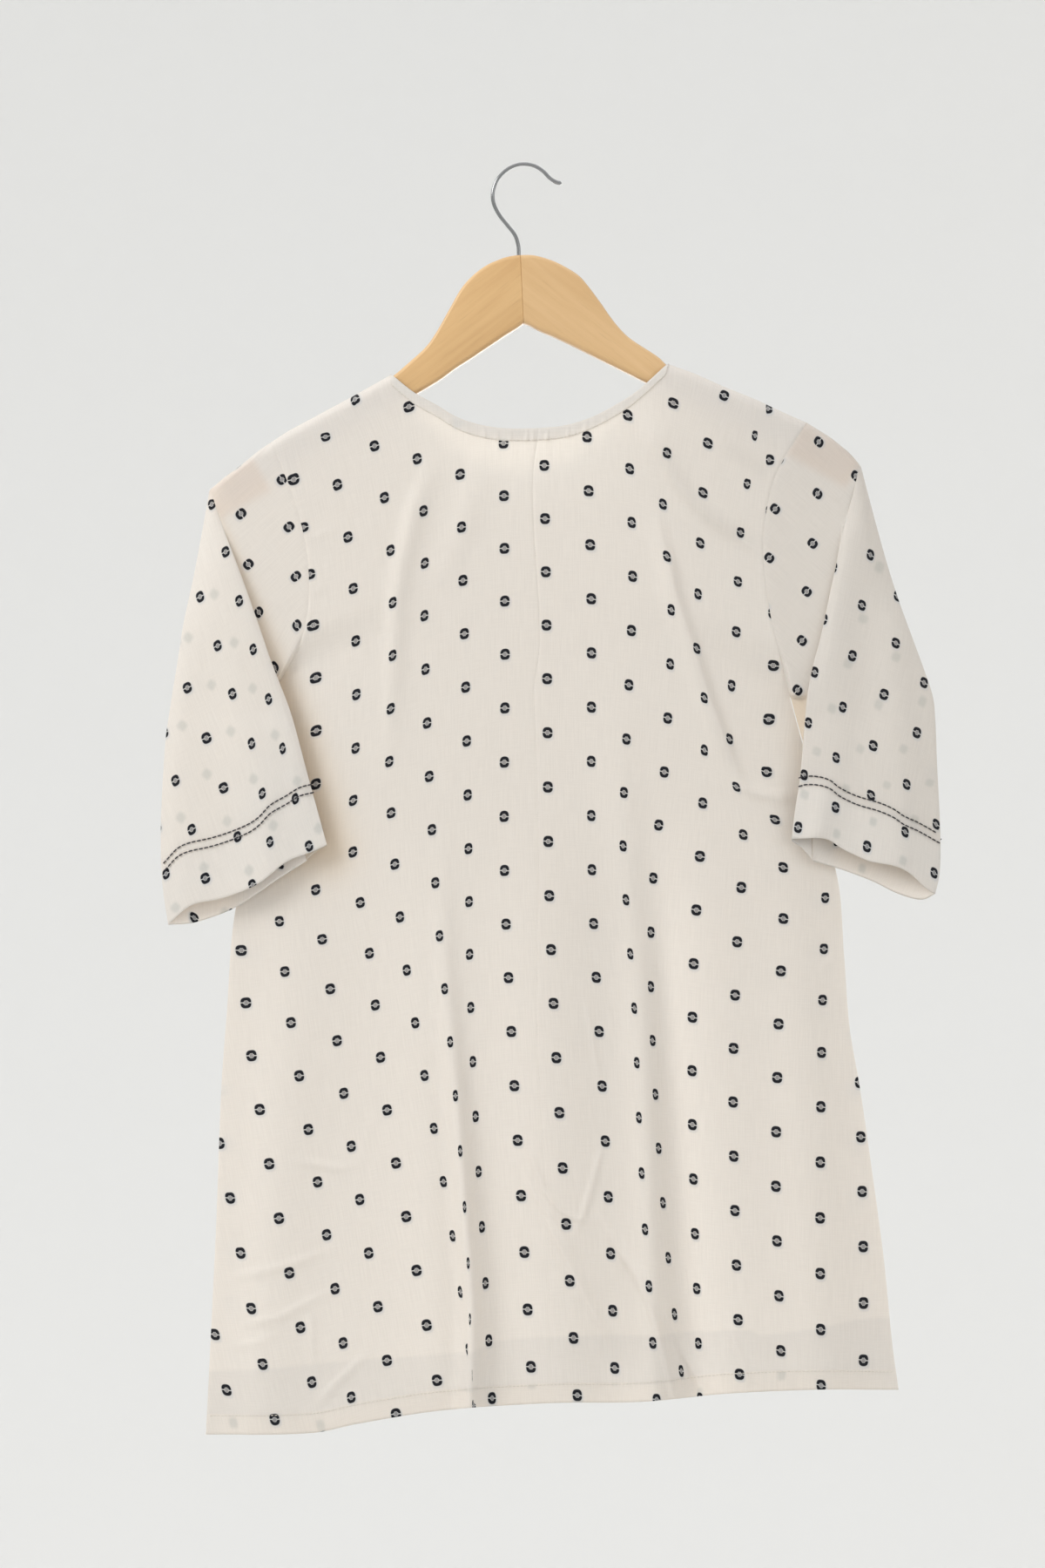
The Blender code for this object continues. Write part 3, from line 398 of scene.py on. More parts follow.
CHART_SLEEVES = {
    # side and layer: the column and the number of each spot, and its x and drop
    "left": {
        "cap": (
            (0, 0, -200.8, 249.4), (0, -1, -171.5, 225), (1, 0.5, -195.5, 285.5),
            (1, -0.5, -166.5, 258.7), (-1, -0.5, -204.5, 212.5), (2, 1, -188, 319.5),
            (2, 0, -161.5, 294), (3, 0.5, -161, 328.8), (3, 1.5, -177, 359),
        ),
        "flap": (
            (-2, 5, -260, 473), (-2, 6, -254, 506), (-1, 3.5, -255.5, 405.5), (-1, 4.5, -247.3, 439.5),
            (-1, 5.5, -235.5, 474.3), (-1, 6.5, -225.7, 509), (0, 3, -239, 373.4), (0, 4, -225, 409.3),
            (0, 5, -212.5, 444.8), (0, 6, -202.3, 479.5), (0, 7, -191.5, 513.5), (1, 1.5, -230, 308.5),
            (1, 2.5, -217, 343.6), (1, 3.5, -206.4, 377.8), (1, 4.5, -192.4, 413.2),
            (1, 5.5, -184.7, 448.7), (1, 6.5, -179.3, 483), (2, 0, -221.8, 242.4),
            (2, 1, -211.3, 276.8), (2, 2, -201.4, 311.8), (2, 3, -191.5, 346.3), (2, 4, -180.6, 381.6),
            (2, 5, -170.5, 416.7), (2, 6, -161.3, 452.5), (2, 7, -151.5, 486),
        ),
        "behind": (
            (0, 0, -219.5, 307), (0, 1, -238.5, 337.5), (1, 0.5, -205, 341.5), (1, 1.5, -221.5, 371.5),
            (1, 2.5, -242.5, 400.5), (2, 1, -192, 374), (2, 2, -207.5, 404.5), (2, 3, -224.5, 435),
            (3, 2.5, -191, 438.5), (3, 3.5, -210, 468.5), (3, 4.5, -226.5, 501.5), (3, 5.5, -247, 530),
            (4, 2, -160, 440),
        ),
    },
    "right": {
        "cap": (
            (0, 0, 211.3, 198.1), (0, 1, 237.7, 222.4), (-1, 0.5, 210.4, 235), (-1, 1.5, 238, 260),
            (-2, 1, 206.8, 270.5), (-3, 1.5, 202.6, 304.8),
        ),
        "flap": (
            (-1, 2.5, 207.8, 362.5), (-1, 3.5, 203.5, 398.5), (-1, 4.5, 200.3, 435.6),
            (-1, 5.5, 195.8, 472.8), (0, 0, 248, 278.7), (0, 1, 241.6, 314.8), (0, 2, 234.6, 350.8),
            (0, 3, 227.8, 387.3), (0, 4, 222.9, 423.2), (0, 5, 222.4, 458.4), (1, 0.5, 268, 308),
            (1, 1.5, 266, 341.6), (1, 2.5, 257.3, 378.3), (1, 3.5, 249.4, 414.8), (1, 4.5, 247.8, 450),
            (1, 5.5, 244.8, 486.4), (2, 2, 286.5, 369.7), (2, 3, 281, 405.4), (2, 4, 273.2, 442.3),
            (2, 5, 272, 476), (3, 4.5, 294.8, 470.7), (3, 5.5, 293.3, 505.3),
        ),
        "behind": (
            (0, 0, 242.5, 324.3), (1, 0.5, 266, 351.5), (1, 1.5, 253.5, 385.6), (2, 2, 271, 417.3),
            (-1, -0.5, 217, 294), (-1, -1.5, 233.7, 254.2), (0, 4, 200.3, 449.5),
            (1, 4.5, 223.2, 477.4), (2, 4, 249.2, 468.7),
        ),
    },
}

SLEEVES = {
    # side: drop and x of the inner fold, drop and x of the outer edge, lap of the fold, depth of
    # the fold and of the outer edge, x and depth of the underarm seam, drop of the far layer
    "left": (
        (232, -224, 232, -224, 0, 0, 0, None, None, 0),
        (266, -210.8, 266, -230, 3, -11, -1, None, None, 0),
        (296, -199.3, 296, -235.6, 5, -13, -2, None, None, 0),
        (328, -187.9, 328, -242.4, 6, -13.5, -3, None, None, 0),
        (353, -179.4, 353, -246.1, 6, -13, -4, None, None, 0),
        (371, -172.5, 371, -249, 6, -12.5, -5, -175.6, 0, 0),
        (388, -166, 391, -252, 7, -12.5, -6, -178.6, -5, 0),
        (405, -160.8, 412, -254.8, 8, -14.5, -7, -174, -9.5, 1),
        (436, -152.5, 470, -257.9, 8, -16.5, -8, -167, -12.5, 4),
        (460, -145.8, 510, -257, 8, -17.5, -8.5, -160, -14, 7),
        (485, -138.9, 542, -252.7, 8, -18.5, -9, -153, -15.5, 10),
    ),
    "right": (
        (214.5, 242, 214.5, 242, 0, 0, 0, None, None, 0),
        (261, 228.5, 261, 254.2, 2, -10, -1, None, None, 0),
        (289, 222.6, 289, 262, 3, -11.5, -2, None, None, 0),
        (315, 217, 315, 270.3, 4, -12.5, -3, None, None, 0),
        (335, 212.7, 335, 277.5, 5, -13, -4, None, None, 0),
        (362, 205.8, 362, 287.4, 5, -13, -4.5, None, None, 0),
        (381, 202.5, 381, 293.3, 5, -12.5, -5, 192.1, 0, 0),
        (395, 201.2, 399, 294.8, 6, -12, -6, 195.6, -3, 1),
        (412, 199.8, 424, 295.6, 7, -13, -7, 200.2, -5, 2),
        (440, 197, 478, 298, 8, -14.5, -8, 207, -9.5, 5),
        (462, 193.5, 505, 297.5, 8, -15.5, -8.5, 206, -10.5, 8),
        (481, 191.2, 520, 294.3, 8, -16.5, -9, 206, -11.5, 11),
    ),
}
SLEEVE_LAYER_BULGE = 7.0
NEAR_BULGE_SHARE = 0.75
BULGE_ROUNDNESS = 0.7

# How the cloth under a sleeve's fold lies: on the cap, how far out the fold and the lap reach;
# below it, how near the lap comes to the body; and past the underarm, how much it keeps to the
# seam.
CAP_FOLD_SHARE = 0.72
CAP_LAP_SHARE = 0.12
UNDER_FOLD_REACH = 0.75
UNDER_FOLD_GAP = 3.0
SEAM_SHARE_ACROSS = 0.45
SEAM_SHARE_DEEP = 0.6

# The edge of each sleeve's cuff: of its near layer, and of the far one that shows below it.
CUFFS = {
    # side: (x, drop)
    "left": (
        (
            (-252.7, 542), (-236, 528), (-215, 523.5), (-191, 514.5), (-181, 508), (-168, 497),
            (-151, 490.5), (-138.9, 485),
        ),
        (
            (-252.7, 542), (-236, 541), (-219.5, 536), (-205, 530), (-188, 519), (-171, 507.5),
            (-155, 497.5), (-146, 491),
        ),
    ),
    "right": (
        (
            (191.2, 481), (199.5, 480.5), (217.5, 481), (227, 488), (237.5, 492.5), (245, 496.5),
            (262.5, 499.5), (274, 504), (288, 516.5), (294.3, 520),
        ),
        (
            (195, 492.5), (209.5, 497.5), (230, 503.5), (253.5, 512.5), (265.5, 519), (285, 524.5),
            (294.3, 520),
        ),
    ),
}

# The upper of the two rows of black stitches, as it is seen on the near layer of each sleeve.
STITCH_ROWS = {
    # side: (x, drop)
    "left": (
        (-257, 500), (-252, 494.5), (-245, 487.5), (-237.5, 484), (-222, 480.5), (-207.5, 476),
        (-193.5, 470), (-186.5, 465), (-179, 457), (-168, 450.5), (-158, 444.5), (-148.5, 442),
    ),
    "right": (
        (196, 438), (201.5, 436.5), (211, 437), (218.5, 439.5), (225, 444.5), (237.5, 450.5),
        (254, 455.5), (264, 460), (270.5, 464.5), (281.5, 469.5), (298, 478.5),
    ),
}

# How far the lower row lies below it, and the upper one above the far layer's edge.
STITCH_ROW_GAP = 6.0
FAR_STITCH_RISE = 41.0

# Along a stitch: the place as a share of its length, its swell and its rise in radii.
STITCH_STATIONS = (
    (-0.5, 0.35, -0.5), (-0.3, 0.95, 0.3), (0, 1, 0.5), (0.3, 0.95, 0.3), (0.5, 0.35, -0.5),
)
BLACK_STITCH = {"length": 3.3, "pitch": 3.8, "radius": 0.5}
CREAM_STITCH = {"length": 2, "pitch": 2.7, "radius": 0.26}

HANGER_HALF_THICKNESS = 6.0
HANGER_EDGE_RADIUS = 3.4
HANGER_ARMS = {
    # side: x and drop of the top edge, x and drop of the bottom edge
    "left": (
        (-1.5, 64, 0.8, 112.9), (-6.2, 64.4, -3.6, 116.1), (-12.4, 65.7, -8, 118.9),
        (-18.6, 68, -12.6, 121.7), (-24.8, 70.8, -17.4, 125), (-34.1, 77.4, -26.4, 131),
        (-43.4, 87.4, -36, 137.5), (-52.7, 103.5, -47.5, 144.9), (-62, 119.9, -58.5, 153),
        (-69, 129.6, -66, 157.6), (-80, 139.8, -76.6, 163.8), (-94.5, 151.8, -92, 173),
        (-122.5, 167.6, -119, 189), (-146.5, 180.4, -143, 202), (-168, 192, -164, 214),
        (-188, 205.4, -182, 226), (-202, 217, -196, 237), (-211, 225.5, -206, 243),
        (-214.5, 233, -212, 240),
    ),
    "right": (
        (-1.5, 64, 0.8, 112.9), (6.2, 64, 5.2, 114.4), (12.4, 65.1, 10.4, 117.3),
        (18.6, 67, 15.8, 119.8), (24.8, 69.4, 21.4, 122.1), (37.2, 76.4, 33.2, 127.6),
        (43.4, 81.8, 39.4, 130.7), (55.8, 98, 52.4, 137.2), (62, 107, 59, 140.5),
        (68.2, 115, 65.6, 143.8), (74.4, 121.5, 72, 147), (80.6, 126.2, 78.2, 150.1),
        (97, 136.9, 92, 157.2), (104.5, 143.6, 101, 161.9), (123, 150.8, 120, 172.5),
        (145, 160.6, 142, 183), (167.5, 169.6, 164, 193), (186, 178.4, 183, 202), (203, 186, 199, 210),
        (220, 196.6, 215, 219), (230.5, 205.5, 226, 224.5), (234.5, 213, 232, 220.5),
    ),
}

# The hanger's tips under the cloth: x, drop, half length, half width and slope of each.
HANGER_TIPS = {
    "left": (-204, 231, 20, 13, math.radians(-30)),
    "right": (216, 207, 24, 13, math.radians(30)),
}

HOOK_WIRE_RADIUS = 1.35
HOOK_TIP_SWELL = 1.12
HOOK = (
    # x, drop
    (-2.7, 66.3), (-2.7, 63.3), (-3, 57), (-5.4, 49.5), (-10.6, 42.6), (-16.6, 35), (-20.6, 26.8),
    (-21.2, 19), (-18.6, 10.8), (-13.4, 4.4), (-7, 0.3), (0, -1.35), (8, -0.3), (14.4, 3.4),
    (19.6, 8.6), (24, 11.4), (28, 12.4),
)

PANEL_STEP = 1.8
FRONT_STEP = 2.6
SLEEVE_STEP = 2.0


def smoothstep(low, high, value):
    t = np.clip((np.asarray(value, float) - low) / (high - low), 0, 1)
    return t * t * (3 - 2 * t)


def curve(rows, at, column=1):
    """The smooth curve through rows, as a function of their first column."""
    keys = np.array([row[0] for row in rows], float)
    values = np.array([row[column] for row in rows], float)
    at = np.clip(np.asarray(at, float), keys[0], keys[-1])
    i = np.clip(np.searchsorted(keys, at, side="right") - 1, 0, len(keys) - 2)
    before = np.maximum(i - 1, 0)
    after = np.minimum(i + 2, len(keys) - 1)
    span = keys[i + 1] - keys[i]
    t = (at - keys[i]) / span
    slope_in = (values[i + 1] - values[before]) / (keys[i + 1] - keys[before])
    slope_out = (values[after] - values[i]) / (keys[after] - keys[i])
    return (
        (2 * t**3 - 3 * t**2 + 1) * values[i]
        + (t**3 - 2 * t**2 + t) * span * slope_in
        + (3 * t**2 - 2 * t**3) * values[i + 1]
        + (t**3 - t**2) * span * slope_out
    )


def long_curve(rows, at, column=1):
    """As curve, and straight on past both its ends."""
    low = (rows[1][column] - rows[0][column]) / (rows[1][0] - rows[0][0])
    high = (rows[-1][column] - rows[-2][column]) / (rows[-1][0] - rows[-2][0])
    before = np.minimum(at - rows[0][0], 0) * low
    after = np.maximum(at - rows[-1][0], 0) * high
    return curve(rows, at, column) + before + after


def ridge_drop(x):
    return np.interp(x, [row[0] for row in RIDGE], [row[1] for row in RIDGE])


def arch(below):
    """How much of its full depth the cloth has this far under the line over the hanger."""
    reach = np.clip(below / SHOULDER_RADIUS, 0, 1)
    return np.sqrt(1 - (1 - reach) ** 2)


def smooth_path(rows, step):
    """Points a step apart on the smooth curve through rows of two or three numbers."""
    rows = np.array(rows, float)
    lengths = np.concatenate([[0], np.cumsum(np.linalg.norm(np.diff(rows, axis=0), axis=1))])
    places = np.linspace(0, lengths[-1], max(2, round(lengths[-1] / step) + 1))
    table = [(length, *row) for length, row in zip(lengths, rows)]
    return np.stack([curve(table, places, i + 1) for i in range(rows.shape[1])], axis=-1)


def crease_height(crease, x, drop):
    """How far one crease stands out of the cloth at these places."""
    _, route, (left_width, right_width), height, (rise, fall) = crease
    path = smooth_path(route, 8.0)
    nearest = np.full(x.shape, 1e9)
    side = np.zeros(x.shape)
    share = np.zeros(x.shape)
    count = len(path) - 1
    for i in range(count):
        start, run = path[i], path[i + 1] - path[i]
        along = ((x - start[0]) * run[0] + (drop - start[1]) * run[1]) / (run @ run)
        held = np.clip(along, 0, 1)
        off_x = x - start[0] - held * run[0]
        off_drop = drop - start[1] - held * run[1]
        distance = np.hypot(off_x, off_drop)
        closer = distance < nearest
        nearest = np.where(closer, distance, nearest)
        turned = off_x * abs(run[1]) - off_drop * run[0] * np.sign(run[1] or 1)
        side = np.where(closer, turned, side)
        share = np.where(closer, (i + held) / count, share)
    width = np.where(side < 0, left_width, right_width)
    swell = smoothstep(0, rise, share) if rise else 1.0
    fade = smoothstep(0, fall, 1 - share) if fall else 1.0
    return height * swell * fade * np.exp(-((nearest / width) ** 2))


def edge_point(side, row):
    """The left or right edge of a body panel, from its shoulder end (0) to its hem (1)."""
    places = []
    for table, share in (
        (ARMHOLE[side], row / UNDERARM_ROW),
        (SIDE_SEAM[side], (row - UNDERARM_ROW) / (1 - UNDERARM_ROW)),
    ):
        drop = table[0][0] + (table[-1][0] - table[0][0]) * share
        places.append((curve(table, drop), drop))
    above = row <= UNDERARM_ROW
    return np.where(above, places[0][0], places[1][0]), np.where(above, places[0][1], places[1][1])


def top_point(face, column):
    """The top edge of a body panel: left shoulder, neckline, right shoulder."""
    left, right = ARMHOLE["left"][0][1], ARMHOLE["right"][0][1]
    x = left + (right - left) * column
    on_neck = (x > NECK_BACK_WIDTH[0]) & (x < NECK_BACK_WIDTH[1])
    neck = curve(NECK_BACK if face == "back" else NECK_FRONT, x)
    return x, np.where(on_neck, neck, ridge_drop(x))


def hem_point(column):
    x = HEM[0][0] + (HEM[-1][0] - HEM[0][0]) * column
    return x, curve(HEM, x)


def panel_outline(face, column, row):
    """Where points of a body panel lie in its outline, blended from the four edges."""
    left, right = edge_point("left", row), edge_point("right", row)
    top, foot = top_point(face, column), hem_point(column)
    corners = [top_point(face, 0.0), top_point(face, 1.0), hem_point(0.0), hem_point(1.0)]
    found = []
    for i in range(2):
        blend = (1 - column) * ((1 - row) * corners[0][i] + row * corners[2][i])
        blend = blend + column * ((1 - row) * corners[1][i] + row * corners[3][i])
        sides = (1 - column) * left[i] + column * right[i]
        found.append(sides + (1 - row) * top[i] + row * foot[i] - blend)
    return found


def panel_surface(face, column, row):
    """Points of a body panel, as an array of x, depth and drop."""
    column, row = np.broadcast_arrays(np.asarray(column, float), np.asarray(row, float))
    x, drop = panel_outline(face, column, row)
    closing = smoothstep(0.78 * UNDERARM_ROW, UNDERARM_ROW, row)
    edge = SHOULDER_HALF_DEPTH + (SIDE_EDGE_DEPTH - SHOULDER_HALF_DEPTH) * closing
    middle = BODY_HALF_DEPTH_TOP + (BODY_HALF_DEPTH_HEM - BODY_HALF_DEPTH_TOP) * row
    across = 1 - np.abs(2 * column - 1) ** 3
    creases = CREASES_BACK if face == "back" else CREASES_FRONT
    folds = sum(crease_height(crease, x, drop) for crease in creases)
    full = edge + (middle - edge) * across + folds * np.minimum(1.0, 2.5 * across + 0.15)
    full = full - armhole_groove(column, row)
    if face == "back":
        full = full - seam_groove(column, drop) + gather_pleats(x, drop)
    depth = RIDGE_EDGE_DEPTH + (full - RIDGE_EDGE_DEPTH) * arch(drop - ridge_drop(x))
    sign = -1 if face == "back" else 1
    drop = drop + sign * FOOT_RISE * folds * smoothstep(0.85, 1.0, row)
    return np.stack([x, sign * depth, drop], axis=-1)


def seam_groove(column, drop):
    """The centre-back seam sinks a little, most near the neck."""
    width = HEM[-1][0] - HEM[0][0]
    off = np.abs(column - CENTRE_SEAM) * width
    deep = CENTRE_SEAM_DEPTH + CENTRE_SEAM_NECK_DEPTH * (1 - smoothstep(200, 480, drop))
    return deep * np.exp(-((off / CENTRE_SEAM_WIDTH) ** 2))


def armhole_groove(column, row):
    """The cloth dips into the seam where a sleeve is set in."""
    width = edge_point("right", row)[0] - edge_point("left", row)[0]
    off = np.minimum(column, 1 - column) * width
    sunk = ARMHOLE_SEAM_DEPTH * np.exp(-((off / ARMHOLE_SEAM_WIDTH) ** 2))
    beside = np.exp(-(((off - ARMHOLE_SWELL_PLACE) / ARMHOLE_SWELL_WIDTH) ** 2))
    fade = 1 - smoothstep(0.8, 1.0, row / UNDERARM_ROW)
    return fade * (sunk - ARMHOLE_SWELL * beside)


def gather_pleats(x, drop):
    """Short pleats that run out of the gathers below the neck binding."""
    below = drop - curve(NECK_BACK, x)
    run = smoothstep(2, 8, below) * np.exp(-np.clip(below - 8, 0, None) / PLEAT_LENGTH)
    spread = PLEAT_WIDTH_SHARE * (1 + np.clip(below, 0, 60) * PLEAT_SPREAD)
    bells = sum(h * np.exp(-(((x - place) / (w * spread)) ** 2)) for place, h, w in NECK_GATHERS)
    return PLEAT_HEIGHT_SHARE * run * bells


def cloth_place(chart, x, drop):
    """How far along the weft and the warp of the cloth these seen places lie."""
    count = len(chart)
    lines = np.stack([long_curve([(d, cx) for _, cx, d in spots], drop) for _, spots in chart])
    spots_down = np.stack([long_curve([(d, m) for m, _, d in spots], drop) for _, spots in chart])
    index = np.clip((lines <= x).sum(axis=0) - 1, 0, count - 2)

    def picked(table, at):
        return np.take_along_axis(table, np.clip(at, 0, count - 1)[None], axis=0)[0]

    left, right = picked(lines, index), picked(lines, index + 1)
    before = np.where(index > 0, picked(lines, index - 1), left - WEFT_PITCH)
    after = np.where(index < count - 2, picked(lines, index + 2), right + WEFT_PITCH)
    span = np.maximum(right - left, 0.5)
    t = np.clip((x - left) / span, 0, 1)
    slope_in = 2 * span / np.maximum(right - before, 1.0)
    slope_out = 2 * span / np.maximum(after - left, 1.0)
    share = (t**3 - 2 * t**2 + t) * slope_in + (t**3 - t**2) * slope_out + (3 * t**2 - 2 * t**3)
    past = np.minimum(x - left, 0) + np.maximum(x - right, 0)
    column = chart[0][0] + index + share + past / WEFT_PITCH
    down = picked(spots_down, index) * (1 - share) + picked(spots_down, index + 1) * share
    return np.stack([column * WEFT_PITCH, down * WARP_PITCH], axis=-1)


def bending(squared):
    return np.where(squared > 0, squared * np.log(np.maximum(squared, 1e-12)), 0.0)


def spread_places(spots, x, drop):
    """Cloth places spread smoothly between single spots, and straight on beyond them."""
    unit = 100.0
    at = np.array([spot[2:] for spot in spots]) / unit
    places = np.array([(column * WEFT_PITCH, down * WARP_PITCH) for column, down, _, _ in spots])
    count = len(spots)
    system = np.zeros((count + 3, count + 3))
    system[:count, :count] = bending(((at[:, None] - at[None]) ** 2).sum(axis=-1))
    system[:count, count] = system[count, :count] = 1
    system[:count, count + 1 :] = at
    system[count + 1 :, :count] = at.T
    weights = np.linalg.solve(system, np.concatenate([places, np.zeros((3, 2))]))
    here = np.stack([x, drop], axis=-1) / unit
    apart = ((here[..., None, :] - at) ** 2).sum(axis=-1)
    return bending(apart) @ weights[:count] + weights[count] + here @ weights[count + 1 :]


def run_lengths(points, axis):
    """Distance along a grid of points, from its first row or column."""
    steps = np.linalg.norm(np.diff(points, axis=axis), axis=-1)
    first = np.zeros_like(np.take(steps, [0], axis=axis))
    return np.cumsum(np.concatenate([first, steps], axis=axis), axis=axis)


def grid_faces(rows, columns, wrap=False):
    across = columns if wrap else columns - 1
    i, j = np.meshgrid(np.arange(rows - 1), np.arange(across), indexing="ij")
    corner, beside = i * columns + j, i * columns + (j + 1) % columns
    faces = np.stack([corner, corner + columns, beside + columns, beside], axis=-1)
    return faces.reshape(-1, 4)


def to_world(points):
    """x, depth and drop in millimetres to metres in the frame."""
    points = np.asarray(points, float).reshape(-1, 3)
    return np.stack([points[:, 0], points[:, 1], -points[:, 2]], axis=-1) * MM


def new_mesh(name, points, faces, material, flip=False):
    mesh = bpy.data.meshes.new(name)
    faces = [tuple(face[::-1] if flip else face) for face in np.asarray(faces).tolist()]
    mesh.from_pydata([tuple(point) for point in to_world(points)], [], faces)
    mesh.materials.append(material)
    obj = bpy.data.objects.new(name, mesh)
    bpy.context.scene.collection.objects.link(obj)
    mesh.shade_smooth()
    return obj


def paint_places(obj, name, places):
    """Stores cloth places, in millimetres, as a UV map in metres."""
    mesh = obj.data
    layer = mesh.uv_layers.new(name=name)
    loops = np.empty(len(mesh.loops), np.int32)
    mesh.loops.foreach_get("vertex_index", loops)
    values = places.reshape(-1, 2)[loops] * MM
    layer.data.foreach_set("uv", values.astype(np.float32).ravel())


def paint_tint_and_shade(obj, tints):
    """Stores a colour for each point, mostly painted light and shade: red, green, blue, and the share
    of what shows through.
    """
    layer = obj.data.attributes.new("tint_and_shade", "FLOAT_COLOR", "POINT")
    layer.data.foreach_set("color", tints.reshape(-1, 4).astype(np.float32).ravel())


def wear(obj, *nodes):
    """Puts a cloth piece on the body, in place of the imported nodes."""
    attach(obj, BODY)
    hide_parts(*nodes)


def fold_shade(x, drop):
    """How far a place lies in the warm shade beside the left sleeve's fold: 1 is the deepest."""
    rows = SLEEVES["left"]
    foot_drop = rows[-1][0]
    off = np.maximum(x - curve(rows, np.minimum(drop, foot_drop)), 0)
    off = np.hypot(off, np.maximum(drop - foot_drop, 0) * 0.8)
    run = smoothstep(rows[0][0], foot_drop, drop)
    reach = 4.0 + 15.0 * run
    deep = (0.45 + 0.55 * run) * smoothstep(rows[0][0], rows[1][0], drop)
    return deep * np.exp(-((off / reach) ** 2))


def body_tint_and_shade(points):
    """The tone of the body's cloth, mostly painted light and shade: greyer under the inner layer's
    edge, pale at the hem, bands beside the folds, paler low down, darker high on the right, and warm
    shade beside the left sleeve's fold.
    """
    x, drop = points[..., 0], points[..., 2]
    foot = curve(HEM, x)
    below_inner_shade = smoothstep(-1.2, 1.2, drop - curve(INNER_EDGE, x))
    in_hem = smoothstep(-0.8, 0.8, drop - (foot - HEM_DEPTH))
    tone_and_shade = np.ones(x.shape + (4,))
    # Painted shade below the inner layer's edge, and painted light on the doubled hem.
    tone_and_shade[..., :3] -= below_inner_shade[..., None] * SINGLE_LAYER_SHADE
    tone_and_shade[..., :3] += in_hem[..., None] * HEM_LIGHT_GAIN
    if points[0, 0, 1] < 0:
        # Painted light and shade in bands beside the folds on the back.
        tone_and_shade[..., :3] *= 1 + sum(crease_height(band, x, drop) for band in LIGHT_AND_SHADE_BACK)[..., None]
    # Painted light low on the body, and painted shade high on its right.
    tone_and_shade[..., :3] *= (1 + LOW_LIGHT_GAIN * smoothstep(430, 820, drop))[..., None]
    high_right_shade_mask = smoothstep(60, 230, x) * (1 - smoothstep(250, 430, drop))
    tone_and_shade[..., :3] *= 1 - HIGH_RIGHT_SHADE * high_right_shade_mask[..., None]
    on_back = points[..., 1] < 0
    tone_and_shade[..., :3] *= 1 - (fold_shade(x, drop) * on_back)[..., None] * SHADE_LOSS
    tone_and_shade[..., 3] = HEM_SPOTS_SHARE * in_hem
    return tone_and_shade


def panel_rows(count):
    """Shares down a panel: close where the cloth bends over the hanger, then even."""
    near = np.linspace(0, 1, TOP_ROWS) ** 1.6 * TOP_SHARE
    even = np.linspace(TOP_SHARE, 1.0, count)
    return np.concatenate([near, even[1:]])


def turned_hem(points):
    """Rows that go on round the foot of a panel and back up inside it."""
    foot = points[-1]
    up = points[-1] - points[-4]
    up = up / np.linalg.norm(up, axis=-1, keepdims=True)
    inward = -np.sign(foot[:, 1:2]) * np.array([[0, 1, 0]])
    turn = foot + up * 0.35 + inward * TURNED_GAP / 2
    back = foot - up * 1.0 + inward * TURNED_GAP
    end = foot - up * HEM_DEPTH + inward * TURNED_GAP
    middle = (back + end) / 2
    return np.concatenate([points, np.stack([turn, back, middle, end])])


def body_panel(node, face, columns, step, material):
    """A body panel with its turned hem."""
    rows = panel_rows(round(BODY_LENGTH / step))
    outer = panel_surface(face, columns[None, :], rows[:, None])
    points = turned_hem(outer)
    faces = grid_faces(*points.shape[:2])
    obj = new_mesh(f"{node}_cloth", points, faces, material, flip=face == "front")
    if face == "back":
        half = CHART_BACK[:9] if node == "back_left" else CHART_BACK[9:]
        places = cloth_place(half, points[..., 0], points[..., 2])
    else:
        centre = points.shape[1] // 2
        across = run_lengths(points, 1)
        across = across - across[:, centre : centre + 1]
        down = points[..., 2] + 0.35 * np.abs(points[..., 1])
        places = np.stack([across, down - 10.0], axis=-1)
    behind = places.copy()
    foot = places[len(outer) - 1 : len(outer), :, 1]
    behind[..., 1] = 2 * foot - places[..., 1]
    paint_places(obj, "cloth", places)
    paint_places(obj, "behind", behind)
    paint_tint_and_shade(obj, body_tint_and_shade(points))
    wear(obj, node)


def body_and_hems(material, thread):
    width = HEM[-1][0] - HEM[0][0]
    half = round(width / 2 / PANEL_STEP)
    seam = 0.01 / width
    left_columns = np.linspace(0, CENTRE_SEAM - seam, half)
    right_columns = np.linspace(CENTRE_SEAM + seam, 1, half)
    close = np.array([0.4, 0.9, 1.5]) / width
    left_columns = np.sort(np.concatenate([left_columns, CENTRE_SEAM - close, close]))
    right_columns = np.sort(np.concatenate([right_columns, CENTRE_SEAM + close, 1 - close]))
    front_columns = np.linspace(0, 1, round(width / FRONT_STEP))
    body_panel("back_left", "back", left_columns, PANEL_STEP, material)
    body_panel("back_right", "back", right_columns, PANEL_STEP, material)
    body_panel("front", "front", front_columns, FRONT_STEP, material)
    hem_stitches(thread)


def surface_normals(points):
    """Unit normals of a grid of points."""
    down = np.gradient(points, axis=0)
    across = np.gradient(points, axis=1)
    normals = np.cross(across, down)
    normals /= np.linalg.norm(normals, axis=-1, keepdims=True) + 1e-9
    return normals


def pucker(off, height, width):
    """A small ridge with a narrow dent on its right."""
    dent = np.exp(-(((off - 1.5 * width) / (0.6 * width)) ** 2))
    return height * (1.1 * np.exp(-((off / width) ** 2)) - 0.8 * dent)


